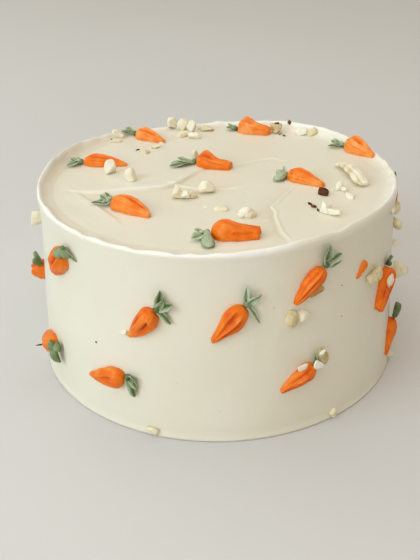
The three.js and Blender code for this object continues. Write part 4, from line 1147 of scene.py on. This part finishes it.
def pale_sweep():
    """The sheet, ring by ring from the middle of the floor to the top of the wall."""
    curve = smooth_path(SWEEP_OUTLINE, [SWEEP_STEPS] * (len(SWEEP_OUTLINE) - 1))
    turn = np.arange(SWEEP_SIDES) * 2 * math.pi / SWEEP_SIDES
    rings = [np.stack([r * np.cos(turn), -r * np.sin(turn), np.full(SWEEP_SIDES, z - SWEEP_DROP)], 1)
             for r, z in curve]
    faces = [tuple(range(SWEEP_SIDES))]
    for ring in range(len(curve) - 1):
        for side in range(SWEEP_SIDES):
            a = ring * SWEEP_SIDES + side
            b = ring * SWEEP_SIDES + (side + 1) % SWEEP_SIDES
            faces.append((a, a + SWEEP_SIDES, b + SWEEP_SIDES, b))
    mesh = bpy.data.meshes.new("sweep")
    mesh.from_pydata(np.vstack(rings).tolist(), [], faces)
    mesh.polygons.foreach_set("use_smooth", [True] * len(mesh.polygons))
    mesh.materials.append(sweep_finish())
    piece = bpy.data.objects.new("sweep", mesh)
    bpy.context.scene.collection.objects.link(piece)
    return piece


pale_sweep()


# THE LIGHT. Soft daylight: a large cool window to the left, a warmer one in front, a broad pale ceiling, a
# faint window behind, and the dim room round them.
def soft_light(name, place, size, watts, color):
    """A flat lamp in its place, turned to face the middle of the cake's foot."""
    lamp = bpy.data.lights.new(name, "AREA")
    lamp.shape = "RECTANGLE"
    lamp.size, lamp.size_y = size
    lamp.energy = watts
    lamp.color = color
    piece = bpy.data.objects.new(name, lamp)
    piece.location = place
    piece.rotation_euler = (-Vector(place)).to_track_quat("-Z", "Y").to_euler()
    bpy.context.scene.collection.objects.link(piece)


soft_light("window", (-1.25, -0.75, 0.75), (0.9, 0.9), 11.5, (0.62, 0.84, 1.0))
soft_light("front_window", (-0.5, -1.4, 0.95), (1.3, 1.1), 8.8, (1.0, 0.91, 0.85))
soft_light("ceiling", (0.1, 0.2, 2.6), (4.0, 4.0), 61, (1.0, 0.90, 0.785))
soft_light("back_window", (-1.0, 0.9, 1.1), (1.2, 1.0), 4.4, (0.88, 1.0, 0.98))
world = bpy.data.worlds.new("room")
bpy.context.scene.world = world
world.use_nodes = True
background = world.node_tree.nodes["Background"]
background.inputs["Color"].default_value = (1.0, 0.97, 0.96, 1)
background.inputs["Strength"].default_value = 0.05
bpy.context.scene.view_settings.view_transform = "Standard"


# THE CAMERA. A short telephoto lens in front of the cake that looks about 28 degrees down, with a trace of
# yaw and roll. The sensor and the lens are in millimetres.
CAMERA_PLACE = (0, -0.3967, 0.2489)
YAW, PITCH, ROLL = math.radians(-0.64), math.radians(28.29), math.radians(-0.93)
SENSOR_WIDTH = 36
LENS = 50.17
NEAREST = 0.01
ahead = Vector((math.sin(YAW) * math.cos(PITCH), math.cos(YAW) * math.cos(PITCH), -math.sin(PITCH)))
right = Vector((math.cos(YAW), -math.sin(YAW), 0))
above = right.cross(ahead)
tilted_right = math.cos(ROLL) * right + math.sin(ROLL) * above
tilted_above = -math.sin(ROLL) * right + math.cos(ROLL) * above
camera = bpy.data.objects.new("camera", bpy.data.cameras.new("camera"))
camera.data.sensor_width = SENSOR_WIDTH
camera.data.lens = LENS
camera.data.clip_start = NEAREST
turned = Matrix((tilted_right, tilted_above, -ahead)).transposed().to_4x4()
camera.matrix_world = Matrix.Translation(CAMERA_PLACE) @ turned
bpy.context.scene.collection.objects.link(camera)
bpy.context.scene.camera = camera
